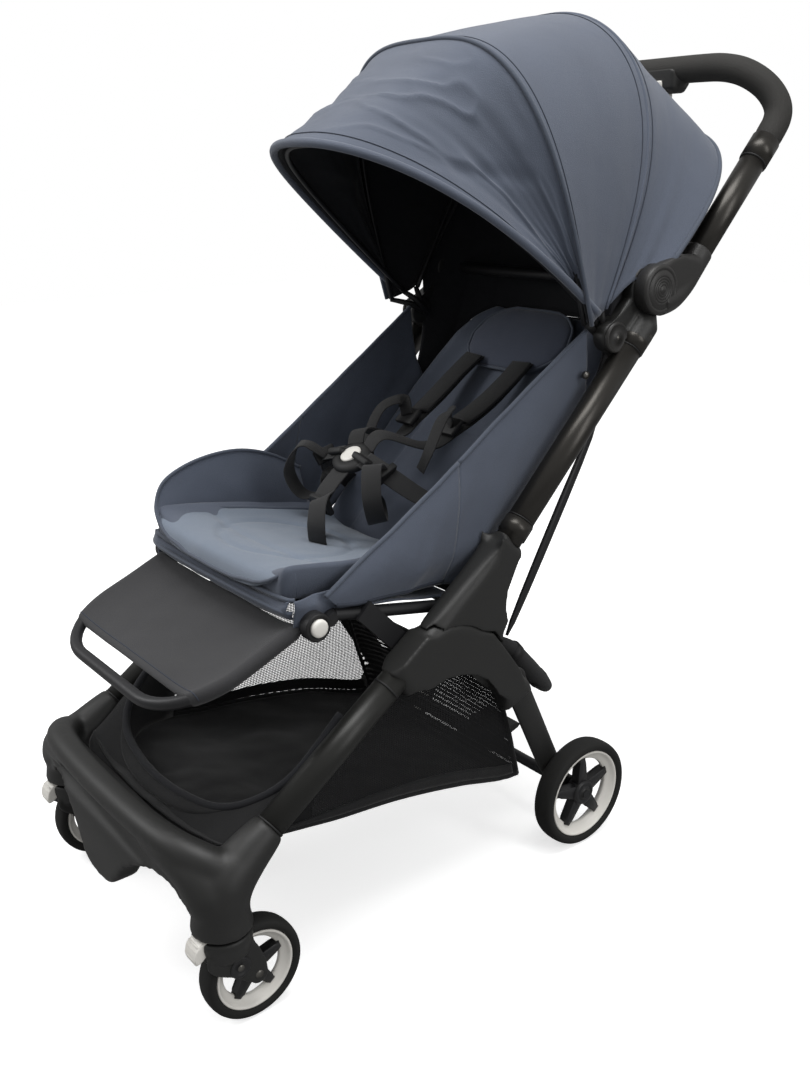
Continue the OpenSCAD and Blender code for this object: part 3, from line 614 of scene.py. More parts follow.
# ---------------------------------------------------------------- casters
def caster(side, sg):
    mir = sg < 0
    body = "caster_" + side
    dome = sweep([(205, -436, 94), (205, -436, 100), (205, -436, 118), (205, -436, 124), (205, -436, 126.6)],
        [24, 30, 33.5, 33.5, 31.5], 48)
    nose_ = sweep(spline([(206, -444, 112), (206, -456, 98), (206, -461, 84), (206, -458, 72)], 5), [25, 19, 13, 8],
        28)
    parts = [dome]
    for s in (-1, 1):
        x = 206 + s * 17.4
        plate = bevelled(rounded([(-464, 112), (-440, 121), (-412, 114), (-400, 92), (-393, 68), (-396, 54),
            (-408, 50), (-418, 56), (-436, 72), (-458, 84), (-468, 98)], 2), x - 2.4, x + 2.4, 1.8, 3)
        boss = lathe(FRONT_WHEEL, [(x - 2.4, 0), (x - 2.4, 12), (x + 2.4, 12), (x + 2.4, 0)], 32)
        parts += [plate, boss]
    ob = moulded("caster_" + side, parts, "frame", None, 1.5, 4, (), mir)
    cut_v, cut_f = lathe(FRONT_WHEEL, [(206 - 14.9, 0), (206 - 14.9, 63.6), (206 + 14.9, 63.6), (206 + 14.9, 0)], 72)
    cut = add("cut", flip_x(cut_v) if mir else cut_v, cut_f, "frame", None)
    box = [(-500, 96), (-500, 127), (-456.5, 127), (-456.5, 108), (-470, 96)]
    bv, bf = prism(box, 206 - 13, 206 + 13)
    cut2 = add("cut2", flip_x(bv) if mir else bv, bf, "frame", None)
    for c in (cut, cut2):
        modify(ob, "BOOLEAN", operation="DIFFERENCE", object=c, solver="EXACT")
    apply_all(ob)
    for c in (cut, cut2):
        bpy.data.objects.remove(c)
    coat(ob, "frame")
    own(ob, body, ["caster_fork_" + side])
    # screw cap and dark slot on the outer cheek
    turn("caster_cap_" + side, (-428, 82), [(224, 0), (224, 13), (226.4, 13), (227.4, 11.8), (227.2, 8.5), (226.6, 8),
        (226.8, 3), (226.2, 0)], 40, "hub", body, mir)
    turn("caster_screw_" + side, (-428, 82), [(226.2, 0), (226.2, 4.4), (227.6, 4), (227.8, 0)], 20, "screw", body,
        mir)
    v, f = bevelled(rounded([(-452, 106), (-450, 111), (-434, 114), (-424, 112), (-428, 107), (-440, 103)], 2), 231,
        234.6, 0.6, 2)
    v = [(x - 6.4, y, z) for x, y, z in v]
    add("caster_slot_" + side, flip_x(v) if mir else v, f, "black", body)
    tab = bevelled(rounded([(-452, 124), (-460, 128), (-470, 127), (-476, 119), (-478, 106), (-475, 101), (-468, 106),
        (-460, 112), (-452, 114)], 2), 206 - 12, 206 + 12, 3, 4)
    moulded("swivel_lock_" + side, [tab], "white", "swivel_lock_" + side, 0.9, 3, ["swivel_lock_" + side], mir)
    for k in range(4):
        bar(f"swivel_rib_{k}_{side}", [(196, -471.5 - 2.4 * k ** 0.6, 123.5 - 5 * k),
            (216, -471.5 - 2.4 * k ** 0.6, 123.5 - 5 * k)], 1.7, "white", "swivel_lock_" + side, 10, (), mir)
    turn("front_axle_" + side, FRONT_WHEEL, [(206 - 20, 0), (206 - 20, 5), (206 + 20, 5), (206 + 20, 0)], 24, "screw",
        body, mir)


for side, sg in SIDES:
    caster(side, sg)

# ---------------------------------------------------------------- handle
half_grip = [(200, 446, 934.7), (200, 456, 945.6), (200, 467, 960), (197.5, 473, 974), (190, 474, 989),
    (178, 470.5, 1004), (162, 463.5, 1017), (142, 457, 1026.5), (116, 453.5, 1031.6), (84, 452.4, 1032.8),
    (40, 452, 1033), (0, 452, 1033)]
grip_path = spline(half_grip + [(-x, y, z) for x, y, z in reversed(half_grip[:-1])], 5)
bar("grip", grip_path, [16.6] + [18] * 30 + [16.6], "grip", "handle", 32, ["handle_grip"])
for s in (-1, 1):
    bar(f"grip_edge_{'left' if s > 0 else 'right'}", [(s * 200, 445.5, 934.2), (s * 200, 447.5, 936.4)], 18.6,
        "black", "handle", 40)
housing = [sweep([(-57, 451, 1026), (-50, 448, 1020), (50, 448, 1020), (57, 451, 1026)], [10, 15, 15, 10], 28,
    up=(0, 0, 1)),
           bevelled([(430, 1034), (432, 1008), (442, 1002), (460, 1003), (470, 1014), (470, 1034)], -54, 54, 6, 4)]
moulded("fold_housing_body", housing, "frame", "handle", 1.7, 6, ["fold_housing"])
moulded("fold_button_pad", [bevelled([(428.5, 1019.5), (441, 1020), (441, 1008), (430, 1008)], -34, 34, 2.4, 3)],
    "white", "fold_button", 1.0, 3, ["fold_button"])
moulded("fold_button_bar", [bevelled([(434, 1004.5), (452, 1003), (452, 996), (440, 994.5), (433, 998)], -38, 38, 2.6,
    3)], "white", "fold_button", 1.0, 3)
# metal pins, bars and brackets that carry over from the frame
for name, mat in (("back_cross_tube", "steel"), ("rear_axle", "steel"), ("seat_frame", "steel"),
        ("brake_pedal", "frame")):
    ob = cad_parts[name]
    ob.data.materials.clear()
    ob.data.materials.append(MAT[mat])


# ---------------------------------------------------------------- soft goods
def rumple(p, scale, seed=0.0):
    """Smooth folds: noise read at a point scaled by scale."""
    q = Vector((p[0] * scale[0] + seed, p[1] * scale[1] + seed * 1.7, p[2] * scale[2] - seed)) * MM
    return noise.noise(q) + 0.5 * noise.noise(q * 2.1 + Vector((3.1, 1.7, 4.9)))


def on_back(s, t, x=0.0):
    return (x, -55 + (s - t) * 0.70711, 405 + (s + t) * 0.70711)


def pillow(name, top, low, nu, nv, mat, body, replaces=()):
    """A stuffed piece between two surfaces that meet at their edges."""
    w = nu + 1
    verts, faces, index = [], [], {}
    for side_, fn in ((0, top), (1, low)):
        for j in range(nv + 1):
            for i in range(w):
                if side_ and (i in (0, nu) or j in (0, nv)):
                    index[1, i, j] = index[0, i, j]
                    continue
                index[side_, i, j] = len(verts)
                verts.append(fn(i / nu, j / nv))
        for j in range(nv):
            for i in range(nu):
                q = [index[side_, i, j], index[side_, i + 1, j], index[side_, i + 1, j + 1], index[side_, i, j + 1]]
                faces.append(tuple(q if not side_ else reversed(q)))
    ob = add(name, verts, faces, mat, None)
    modify(ob, "SUBSURF", levels=1, render_levels=1)
    apply_all(ob)
    coat(ob, mat)
    own(ob, body, replaces)
    return ob


def dome(u, power=0.5):
    """1 in the middle of 0..1 and 0 at both ends, round at the edges."""
    return max(1 - abs(2 * u - 1) ** 2.6, 0) ** power


def along(table, t):
    """A smooth curve through points at even steps."""
    f = min(max(t, 0), 1) * (len(table) - 1)
    i = min(int(f), len(table) - 2)
    s = f - i
    a, b, c, d = (Vector(table[min(max(i + k, 0), len(table) - 1)]) for k in (-1, 0, 1, 2))
    return 0.5 * (2 * b + (c - a) * s + (2 * a - 5 * b + 4 * c - d) * s * s + (3 * b - a - 3 * c + d) * s ** 3)


# seat: a padded base, a light front pad on it and rolls along both sides
SEAT = [(-303, 452), (-304, 462), (-290, 466), (-255, 461), (-200, 452), (-150, 445), (-100, 438), (-66, 430)]


def seat_top(u, v):
    y, z = along(SEAT, v)
    x = (2 * u - 1) * (157 - 30 * max(0, 0.25 - v) ** 2 * 8)
    side_ = abs(2 * u - 1)
    z += 34 * side_ ** 3.5 * ease(v * 4 + 0.1) + 9 * dome(u) * dome(min(v * 1.3 + 0.06, 1)) + 1.6 * rumple((x, y, 0),
        (22, 16, 0), 2.0)
    return (x, y, z)


def seat_low(u, v):
    x, y, z = seat_top(u, v)
    return (x, y + (12 if v < 0.3 else 0), along(SEAT, v)[1] - 12)


pillow("seat_pad", seat_top, seat_low, 40, 40, "seat", "front_frame", ["seat_cushion"])
LOBE = [(-313, 462), (-304, 473), (-275, 474), (-235, 468), (-190, 461), (-145, 455), (-105, 451), (-80, 448)]


def lobe_width(v):
    return lerp([(0, 74), (0.04, 108), (0.12, 138), (0.24, 151), (0.4, 149), (0.57, 137), (0.71, 120), (0.86, 98),
        (1, 76)], v)


def lobe_top(u, v):
    y, z = along(LOBE, v)
    s = 2 * u - 1
    x = s * lobe_width(v)
    puff = 9.0 * dome(u, 0.6) * dome(v, 0.6)
    # pressed oval seam, a cross fold and the rising edges
    e = ((x / 92) ** 2 + ((y + 205) / 76) ** 2) ** 0.5
    puff -= 4.2 * math.exp(-((e - 1) / 0.055) ** 2)
    puff -= 3.4 * math.exp(-((y + 246 - 0.0009 * x * x) / 5) ** 2)
    z += puff + 16 * abs(s) ** 4 * (0.3 + 0.7 * ease(v * 4)) + 1.1 * rumple((x, y, 9), (26, 20, 0), 5.0)
    return (x, y, z)


def lobe_low(u, v):
    x, y, z = lobe_top(u, v)
    zz = along(LOBE, v)[1]
    s = 2 * u - 1
    return (x, y, zz - 5 + 16 * abs(s) ** 4 * (0.3 + 0.7 * ease(v * 4)))


pillow("seat_lobe", lobe_top, lobe_low, 48, 56, "lobe", "front_frame", ())
edge = [Vector(lobe_top(u, 0)) for u in [i / 24 for i in range(25)]] + [Vector(lobe_top(1, v / 30))
    for v in range(1, 31)]
edge = [Vector(lobe_top(0, v / 30)) for v in range(30, 0, -1)] + edge
bar("lobe_piping", edge, 2.4, "piping", "front_frame", 10)
EAR_LOW = [(-126, -300, 468), (-146, -288, 466), (-152, -250, 464), (-151, -205, 460), (-148, -160, 456),
    (-146, -110, 452), (-145, -70, 448)]
EAR_TOP = [(-132, -309, 478), (-152, -303, 499), (-160, -284, 527), (-163, -236, 545), (-164, -176, 549),
    (-164, -122, 535), (-162, -74, 508)]


def ear(u, v, lift):
    p, q = along(EAR_LOW, u), along(EAR_TOP, u)
    r = p.lerp(q, v)
    bow = math.sin(math.pi * v) * dome(u, 0.4)
    r.x += (-3 if lift else -13) * bow + (7 if lift else 0) * bow + 1.5 * rumple((r.y, r.z, 3), (20, 20, 1), 91) * bow
    return tuple(r)


pillow("seat_ear", lambda u, v: ear(u, v, True), lambda u, v: ear(u, v, False), 40, 22, "seat", "front_frame", ())
bar("seat_ear_piping", [ear(u / 40, 1, True) for u in range(41)], 2.4, "piping", "front_frame", 10)
for side, sg in SIDES:
    ob = grid("seat_skirt_" + side, lambda u, v: (sg * (163 + 4 * math.sin(math.pi * v)
        + 5 * rumple((u * 100, v * 60, sg * 9), (34, 22, 1), 95)), -300 + 104 * u, 428 + 3 * u + v * (34 - 4 * u)),
        40, 16, "cloth", "front_frame", 1.6, 0.0)
# cloth under the seat, the front apron flap and the two hems
SLING = [(-296, 436), (-307, 446), (-306, 456), (-296, 459), (-240, 438), (-150, 424), (-66, 409)]
ob = grid("seat_sling", lambda u, v: (lambda y, z,
    x: (x, y, z - 9 * dome(u) * dome(max(v, 0.2)) + 1.5 * rumple((x, y, z), (30, 20, 10), 7)))(*along(SLING, v),
        (2 * u - 1) * 160), 30, 40, "cloth", "front_frame", 2.0)
for k, (y, z) in enumerate(((-309, 447), (-305.5, 461.5))):
    bar(f"seat_hem_{k}", spline([(-161, y + 10, z - 1), (-150, y + 2, z), (-80, y - 2.5, z + 1),
        (0, y - 3.5, z + 1.5), (80, y - 2.5, z + 1), (150, y + 2, z), (161, y + 10, z - 1)], 5), 2.6, "piping",
        "front_frame", 10)


# back: padded panel with side rolls, centre seam and head pillow
def back_surface(u, v, lift):
    s = 8 + 424 * v
    w = lerp([(0, 150), (0.25, 152), (0.6, 154), (0.85, 150), (0.94, 138), (1, 106)], v)
    k = 2 * u - 1
    x = k * w
    t = 5 - 8 * v
    roll = 26 * math.exp(-((abs(k) - 0.86) / 0.14) ** 2) * (0.45 + 0.55 * dome(v))
    seam = -5 * math.exp(-((abs(x) - 92 + 10 * v) / 5) ** 2) - 3.5 * math.exp(-((s - 214
        + 0.0016 * x * x) / 5) ** 2) - 3.0 * math.exp(-((s - 96) / 6) ** 2)
    body_ = 12 * dome(u, 0.6) * dome(v, 0.6)
    if lift:
        t += roll * dome(u, 0.4) + body_ + seam * dome(u) + 2.0 * rumple((x, s, 0), (20, 14, 0), 11)
    else:
        t -= 12 * dome(u, 0.5) * dome(v, 0.5)
    return on_back(s, t, x)


pillow("back_pad", lambda u, v: back_surface(u, v, True), lambda u, v: back_surface(u, v, False), 56, 60, "seat",
    "backrest", ["back_cushion"])


def head_top(u, v, lift):
    s = 318 + 104 * v
    k = 2 * u - 1
    w = lerp([(0, 40), (0.08, 66), (0.25, 86), (0.5, 94), (0.75, 86), (0.92, 66), (1, 40)], v)
    t = 17 if lift else 5
    return on_back(s, t + (10 * dome(u, 0.6) * dome(v, 0.6) + 0.8 * rumple((k * w, s, 4), (30, 30, 0), 3) if lift
        else -4), k * w) if lift or 0 < v < 1 else on_back(s, 8, k * w)


pillow("head_pillow", lambda u, v: head_top(u, v, True), lambda u, v: head_top(u, v, False), 30, 26, "head",
    "backrest", ["head_pad"])
rim_ = [head_top(0, v / 14, True) for v in range(15)] + [head_top(u / 10, 1, True)
    for u in range(1, 11)] + [head_top(1, v / 14, True) for v in range(13, -1, -1)] + [head_top(1 - u / 10, 0, True)
            for u in range(1, 10)]
bar("head_piping", rim_, 2.0, "piping", "backrest", 8, closed=True)
ob = grid("back_shell", lambda u, v: on_back(4 + 440 * v, -19 - 6 * dome(u) * dome(v)
    + 1.5 * rumple((u * 300, v * 400, 0), (16, 12, 0), 8), (2 * u - 1) * lerp([(0, 150), (0.9, 158), (1, 150)], v)),
    30, 40, "lining", "backrest", 2.0)

# ---------------------------------------------------------------- side wings
WING_TOP = [(-262, 459), (-235, 476), (-205, 494), (-162, 519), (-118, 546), (-72, 576), (-20, 611), (57, 661),
    (100, 688), (140, 713)]
WING_LOW = [(-248, 446), (-225, 441), (-198, 438), (-163, 434), (-122, 430), (-84, 427), (-44, 424), (6, 466),
    (70, 530), (150, 612)]


def wing(u, v, sg):
    a, b = along(WING_LOW, u), along(WING_TOP, u)
    y, z = a + (b - a) * v
    x = 171 + 4 * ease(v * 1.2) * ease(u * 2.5) + 8 * math.sin(math.pi * v) * math.sin(math.pi * min(u * 1.1, 1))
    x -= 12 * (1 - ease(v * 3.2)) * ease((u - 0.2) * 3) + 7 * v * math.sin(math.pi * u)
    y += 6 * v * math.sin(math.pi * u)
    fold = 5.5 * (1 - v * 0.8) * (0.4 + 0.6 * math.sin(math.pi * u))
    x += fold * rumple((y * 0.9 - z * 0.5, y * 0.3 + z * 0.2, 5 * sg), (24, 6, 1), 13) + 1.4 * rumple((y, z, sg),
        (14, 14, 1), 17)
    return (sg * x, y, z)


for side, sg in SIDES:
    for part, u0, u1, a, b, p0, p1 in (("front", 0.0, 0.56, "front_frame", "side_brackets", (0, -200, 470),
            (0, -70, 500)), ("back", 0.56, 1.0, "side_brackets", "upper_frame", (0, -70, 500), (0, 40, 590))):
        ob = grid(f"wing_{part}_{side}", lambda u, v: wing(u0 + (u1 - u0) * u, v, sg), 60 if part == "front" else 44,
            30, "cloth", None, 3.0, 0.0, ["side_panel_" + side])
        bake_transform(ob)
        top = [wing(u0 + (u1 - u0) * k / 40, 1, sg) for k in range(41)]
        v_, f_ = sweep(top, 3.0, 10)
        ob = add(f"wing_piping_{part}_{side}", v_, f_, "piping", None)
        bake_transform(ob)
        if part == "front":
            low = [wing(u1 * k / 40, 0.03, sg) for k in range(41)]
            v_, f_ = sweep([(x + sg * 0.8, y, z) for x, y, z in low], 2.6, 10)
            ob = add(f"wing_hem_{side}", v_, f_, "dark_seam", None)
            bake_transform(ob)

# ---------------------------------------------------------------- canopy
# where two bows lie on the canopy, from 0 at its back hem to 1 at its front one
REAR_BOW, MIDDLE_BOW = 0.36, 0.62
# position, hub y, hub z, tilt at the middle, tilt at the sides, height, half width, squareness, lowest radius
BOWS = [(0.0, 158, 712, -45, -49, 350, 216, 4.0, 120), (0.22, 150, 714, -28, -38, 384, 199, 2.6, 80),
    (REAR_BOW, 144, 714, -14, -28, 392, 191, 2.7, 30),
        (0.5, 132, 709, 2, -4, 379, 196, 2.9, 20), (MIDDLE_BOW, 125, 705, 17, 17, 362, 203, 3.2, 20),
        (0.8, 137, 717, 37, 34.5, 371, 200, 2.6, 20), (1.0, 147, 728, 56.3, 51.6, 376.5, 197.5, 2.2, 14)]


def bow_at(v):
    row = []
    for k in range(1, 9):
        f = [(r[0], r[k]) for r in BOWS]
        t = v
        i = max(j for j in range(len(f) - 1) if f[j][0] <= t or j == 0)
        a, b = f[i], f[i + 1]
        s = (t - a[0]) / (b[0] - a[0])
        m0 = (b[1] - f[max(i - 1, 0)][1]) / (b[0] - f[max(i - 1, 0)][0]) * (b[0] - a[0])
        m1 = (f[min(i + 2, len(f) - 1)][1] - a[1]) / (f[min(i + 2, len(f) - 1)][0] - a[0]) * (b[0] - a[0])
        if abs(a[0] - MIDDLE_BOW) < 1e-6:
            m0 = b[1] - a[1]
        if abs(b[0] - MIDDLE_BOW) < 1e-6:
            m1 = b[1] - a[1]
        row.append((2 * s ** 3 - 3 * s * s + 1) * a[1] + (s ** 3 - 2 * s * s + s) * m0
            + (3 * s * s - 2 * s ** 3) * b[1] + (s ** 3 - s * s) * m1)
    return row


def bow_frame(u, v, inset):
    """Point on the canopy, its sideways share, its height above the hub and its tilt."""
    hy, hz, f0, f1, r, w, n, low = bow_at(v)
    r -= inset
    w -= inset
    end = math.acos(min(low / r, 0.99) ** (n / 2))
    t = (2 * u - 1) * end
    x = w * math.copysign(abs(math.sin(t)) ** (2 / n), t)
    h = r * abs(math.cos(t)) ** (2 / n)
    f = math.radians(f1 + (f0 - f1) * (1 - (x / w) ** 2))
    return Vector((x, hy - h * math.sin(f), hz + h * math.cos(f))), x, w, h, r, f


# from, to, how straight the cloth runs between its bows, how far it dips
SPANS = ((0, REAR_BOW, 0.35, 3.0), (REAR_BOW, MIDDLE_BOW, 0.55, 3.5), (MIDDLE_BOW, 1.0, 0.9, 5.0))


def canopy(u, v, inset=0.0):
    p, x, w, h, r, f = bow_frame(u, v, inset)
    for a, b, taut, depth in SPANS:
        if a < v < b:
            p = p.lerp(bow_frame(u, a, inset)[0].lerp(bow_frame(u, b, inset)[0], (v - a) / (b - a)), taut)
        if a <= v <= b:
            dip = math.sin(math.pi * (v - a) / (b - a)) * depth
    # cloth dips a little between the bows and wrinkles towards the hubs
    side_ = abs(x / w) ** 2
    if v > MIDDLE_BOW:
        dip *= 1 + 4.2 * math.exp(-((abs(x / w) - 0.8) / 0.3) ** 2) * ease(h / 200)
    wr = 0.0
    if v > MIDDLE_BOW:
        k = math.sin(math.pi * (v - MIDDLE_BOW) / 0.38)
        wr = k * (3.4 * rumple((x * 0.5, h * 0.55, v * 700), (14, 8, 22), 21)
            + 3.4 * side_ * rumple((v * 620, h * 0.22, x), (30, 9, 2), 25))
        ridge = 1 - abs(rumple((x * 0.7 + h * 0.25, h * 0.4, v * 520), (15, 15, 19), 27)) * 2.2
        wr += k * 5.5 * max(ridge, 0) ** 4 * (0.35 + 0.65 * ease(x / 120))
        wr -= k * 3.0 * math.exp(-(((h - 190 - 320 * (v - MIDDLE_BOW)) / 16) ** 2)) * side_ * 1.4
        wr -= k * 2.4 * math.exp(-(((h - 262 + 240 * (v - MIDDLE_BOW)) / 13) ** 2)) * side_
    else:
        k = math.sin(math.pi * min(max(v, 0.02), MIDDLE_BOW) / MIDDLE_BOW)
        wr = k * (1.4 * rumple((x * 0.5, h * 0.4, v * 500), (10, 7, 16), 31)
            + 2.0 * side_ * rumple((v * 500, h * 0.2, x), (22, 8, 1), 35))
    off = (-dip + wr) * (1 if abs(2 * u - 1) < 0.999 else 0.4)
    d = Vector((x / w * 0.9, 0, h / r))
    d.normalize()
    return tuple(p + Vector((d.x, -d.z * math.sin(f), d.z * math.cos(f))) * off)


def bow_point(v):
    return [c * MM for c in canopy(0.5, v)]


def canopy_piece(name, v0, v1, nu, nv, mat, a, b, inset, thick, replaces):
    ob = grid(name, lambda u, v: canopy(u, v0 + (v1 - v0) * v, inset), nu, nv, mat, None, thick, -1.0 if inset == 0
        else 1.0, replaces)
    if b:
        bow_point(v0)
        bow_point(v1)
        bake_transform(ob)
    else:
        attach(ob, a)
    return ob


SHELLS = [("canopy_flap", 0.0, REAR_BOW, "rear_bow", None, ["rear_canopy"]),
    ("canopy_dome", REAR_BOW, MIDDLE_BOW, "rear_bow", "middle_bow", ()),
    ("canopy_visor", MIDDLE_BOW, 1.0, "middle_bow", "visor_bow", ["middle_canopy"])]
for name, v0, v1, a, b, rp in SHELLS:
    ob = canopy_piece(name, v0, v1, 150, 60, "cloth", a, b, 0.0, 1.6, rp)
    ob = canopy_piece(name + "_lining", v0, v1, 90, 30, "lining", a, b, 5.0, 1.0, ())


def seam(name, v, r, mat, body, out=0.0, sides=12, n=120, replaces=()):
    pts = [canopy(k / n, v, -out) for k in range(n + 1)]
    return bar(name, pts, r, mat, body, sides, replaces)


seam("visor_hem", 1.0, 5.2, "cloth", "visor_bow", 0.0, 16, 160, ["visor_bow"])
seam("visor_stitch", 0.965, 0.5, "dark_seam", "visor_bow", 0.6, 6)
seam("mid_piping", MIDDLE_BOW, 2.8, "piping", "middle_bow", 0.8, 12, 160, ["middle_bow"])
seam("mid_piping_shade", 0.606, 0.7, "dark_seam", "middle_bow", 0.2, 8)
for k, v in enumerate((0.343, 0.377)):
    seam(f"band_seam_{k}", v, 0.6, "dark_seam", "rear_bow", 0.5, 6)
seam("band_rib", REAR_BOW, 3.0, "cloth", "rear_bow", -1.2, 12, 160, ["rear_bow"])
seam("flap_hem", 0.0, 3.2, "piping", "rear_bow", 0.0, 12, 120)
for v, body in ((MIDDLE_BOW, "middle_bow"), (REAR_BOW, "rear_bow"), (0.985, "visor_bow")):
    seam(f"bow_rod_{body}", v, 3.4, "steel", body, -12.0, 12, 100)
for sg in (1, -1):
    tag = "left" if sg > 0 else "right"
    for k, v in enumerate((REAR_BOW, MIDDLE_BOW, 1.0)):
        p = canopy(1.0 if sg > 0 else 0.0, v, 8)
        body = ("rear_bow", "middle_bow", "visor_bow")[k]
        bar(f"bow_foot_{k}_{tag}", [(sg * (176 - 3.2 * k), 167, 705),
            (sg * (181 - 2 * k), (167 + p[1]) / 2, (705 + p[2]) / 2 + 3), p], [5.5, 4.5, 3.4], "black", body, 14)

# ---------------------------------------------------------------- cloth between the back and the canopy
def curtain(u, v):
    k = 2 * u - 1
    t = abs(k)
    # up one side of the back, over its top and down the other side
    s = 436 if t < 0.42 else 436 - (t - 0.42) / 0.58 * 190
    x = k / 0.42 * 120 if t < 0.42 else math.copysign(lerp([(0.42, 120), (0.5, 150), (0.62, 164), (1, 168)], t), k)
    low = Vector(on_back(s, -8, x))
    top = Vector(canopy(u, 0.30, 7))
    p = low + (top - low) * v
    return tuple(p + Vector((0, 14 * math.sin(math.pi * v)
        + 2 * rumple((p.x, p.y, p.z), (20, 20, 10), 81) * math.sin(math.pi * v), 0)))


ob = grid("back_curtain", curtain, 80, 30, "lining", "upper_frame", 1.4, 0.0)

# ---------------------------------------------------------------- leg rest
SLOPE = math.radians(22)


def on_rest(s, n, x=0.0):
    return (x, -279 - s * math.cos(SLOPE) - n * math.sin(SLOPE), 430 - s * math.sin(SLOPE) + n * math.cos(SLOPE))


loop = [(158, 6), (158, 50), (158, 90), (158, 102)]
for k in range(1, 13):
    a = math.pi / 2 * k / 12
    loop.append((74 + 84 * math.cos(a), 102 + 84 * math.sin(a)))
loop += [(40, 186), (0, 186)]
loop += [(-x, s) for x, s in reversed(loop[:-1])]
bar("rest_loop", [on_rest(s, 0, x) for x, s in loop], 7.4, "steel", "leg_rest", 20, ["leg_rest_frame"])
for side, sg in SIDES:
    turn("rest_knuckle_" + side, REST_HUB, [(150, 0), (150, 12), (152, 14.5), (166, 14.5), (168, 12.5), (168, 0)], 40,
        "steel", "leg_rest", sg < 0)
    turn("rest_hub_" + side, REST_HUB, [(168.6, 0), (168.6, 15.6), (170, 17), (180, 17), (182.4, 15.8), (182.8, 14),
        (181.8, 12.6), (180.4, 12), (180.4, 0)], 56, "black", "front_frame", sg < 0)
    turn("rest_button_disc_" + side, REST_HUB, [(176, 0), (176, 10.4), (184.5, 10.6), (186.2, 9.6), (187, 7),
        (187.2, 0)], 48, "white", "rest_button_" + side, sg < 0, replaces=["rest_button_" + side])


def rest_edge(s):
    return 158 if s < 102 else 74 + 84 * math.sqrt(max(1 - ((s - 102) / 84) ** 2, 0))


def rest_sheet(u, v, lift):
    s = 14 + 144 * v
    half = rest_edge(s)
    # around the arm, across the top or the bottom
    k = 2 * u - 1
    wrap_ = 0.86
    if abs(k) > wrap_:
        a = (abs(k) - wrap_) / (1 - wrap_) * math.pi / 2
        x = half + 9.6 * math.sin(a)
        n = 9.6 * math.cos(a)
    else:
        x = abs(k) / wrap_ * half
        n = 9.6 - 6.6 * (1 - (abs(k) / wrap_) ** 8)
    x = math.copysign(x, k)
    sag = -5.0 * (1 - (k * k)) * math.sin(math.pi * min(v * 1.05, 1))
    end = 1 if v < 0.96 else max(1 - ((v - 0.96) / 0.04) ** 2, 0) ** 0.5
    ripple = 1.5 * rumple((x, s, 0), (12, 18, 0), 41) * (1 - abs(k) ** 4)
    n = (n if lift else -n) * end + sag + ripple
    return on_rest(s, n, x)


pillow("rest_cover", lambda u, v: rest_sheet(u, v, True), lambda u, v: rest_sheet(u, v, False), 60, 44, "panel",
    "leg_rest", ["leg_rest_panel"])
bar("rest_hem", [rest_sheet(u / 40, 0.93, True) for u in range(41)], 0.7, "dark_seam", "leg_rest", 6)

# ---------------------------------------------------------------- basket
BASKET_LOW = [(-432, 203), (-392, 198), (-344, 192), (-255, 178), (-180, 170), (-65, 148), (20, 122), (46, 118)]


def basket_floor(u, v):
    y, z = along(BASKET_LOW, v)
    k = 2 * u - 1
    w = lerp([(0, 172), (0.1, 178), (0.7, 176), (0.86, 170), (1, 168)], v)
    if y < -400:
        w = 178 - 0.2 * (-400 - y)
    z -= 7 * dome(u) * dome(min(v + 0.1, 1)) - 3.0 * rumple((k * w, y, 0), (16, 14, 0), 51)
    return (k * w, y + (k * k) * 20 * (1 - v) ** 4, z)


ob = grid("basket_floor", basket_floor, 60, 70, "basket", "front_frame", 1.8, -1, ["basket"])
SIDE_TOP = [(-330, 240), (-272, 274), (-216, 312), (-172, 332), (-132, 344), (-92, 342), (-58, 332), (-28, 316),
    (-4, 292)]
SIDE_LOW = [(-344, 192), (-300, 185), (-255, 178), (-180, 170), (-120, 160), (-65, 148), (-20, 134), (12, 124),
    (46, 118)]


def basket_side(u, v, sg):
    a, b = along(SIDE_LOW, u), along(SIDE_TOP, u)
    y, z = a + (b - a) * v
    x = lerp([(0, 176), (0.6, 176), (0.85, 170), (1, 167)], u) + 4 * math.sin(math.pi * v) + 2.6 * rumple((y, z, sg),
        (11, 14, 1), 61) * math.sin(math.pi * v)
    if v > 0.85 and u < 0.9:
        x += (v - 0.85) / 0.15 * 5
    return (sg * x, y, z)


for side, sg in SIDES:
    ob = grid("basket_side_" + side, lambda u, v: basket_side(u, v, sg), 90, 40, "mesh", "front_frame", 0.7, 0.0)
    low = [basket_side(k / 60, 0.0, sg) for k in range(61)]
    bar("basket_hem_" + side, low, 3.2, "basket", "front_frame", 10)
    back = [basket_side(1.0, k / 20, sg) for k in range(21)]
    bar("basket_back_hem_" + side, back, 3.0, "basket", "front_frame", 10)
    bar("basket_top_hem_" + side, [basket_side(k / 60, 1.0, sg) for k in range(61)], 2.6, "basket", "front_frame", 10)
    tape = grid("basket_tape_" + side, lambda u, v: (lambda p: (p[0] + sg * 1.0, p[1], p[2]))(basket_side(0.04
        + 0.92 * u, 0.02 + 0.09 * v, sg)), 60, 4, "basket", "front_frame", 1.0, 0.0)


def basket_back(u, v):
    k = 2 * u - 1
    y = lerp([(0, 46), (0.45, 25), (0.8, 7), (1, -4)], v)
    z = lerp([(0, 118), (0.45, 194), (0.8, 258), (1, 292)], v)
    w = 168 - 2 * v
    return (k * w, y + 5 * dome(u) * math.sin(math.pi * v), z - 6 * dome(u) * v
        + 2 * rumple((k * w, z, 0), (14, 14, 0), 66) * math.sin(math.pi * v))


ob = grid("basket_back", basket_back, 60, 30, "mesh", "front_frame", 0.7, 0.0)
bar("basket_back_top", [basket_back(k / 30, 1.0) for k in range(31)], 3.4, "basket", "front_frame", 10)
bar("basket_back_low", [basket_back(k / 30, 0.0) for k in range(31)], 3.2, "basket", "front_frame", 10)
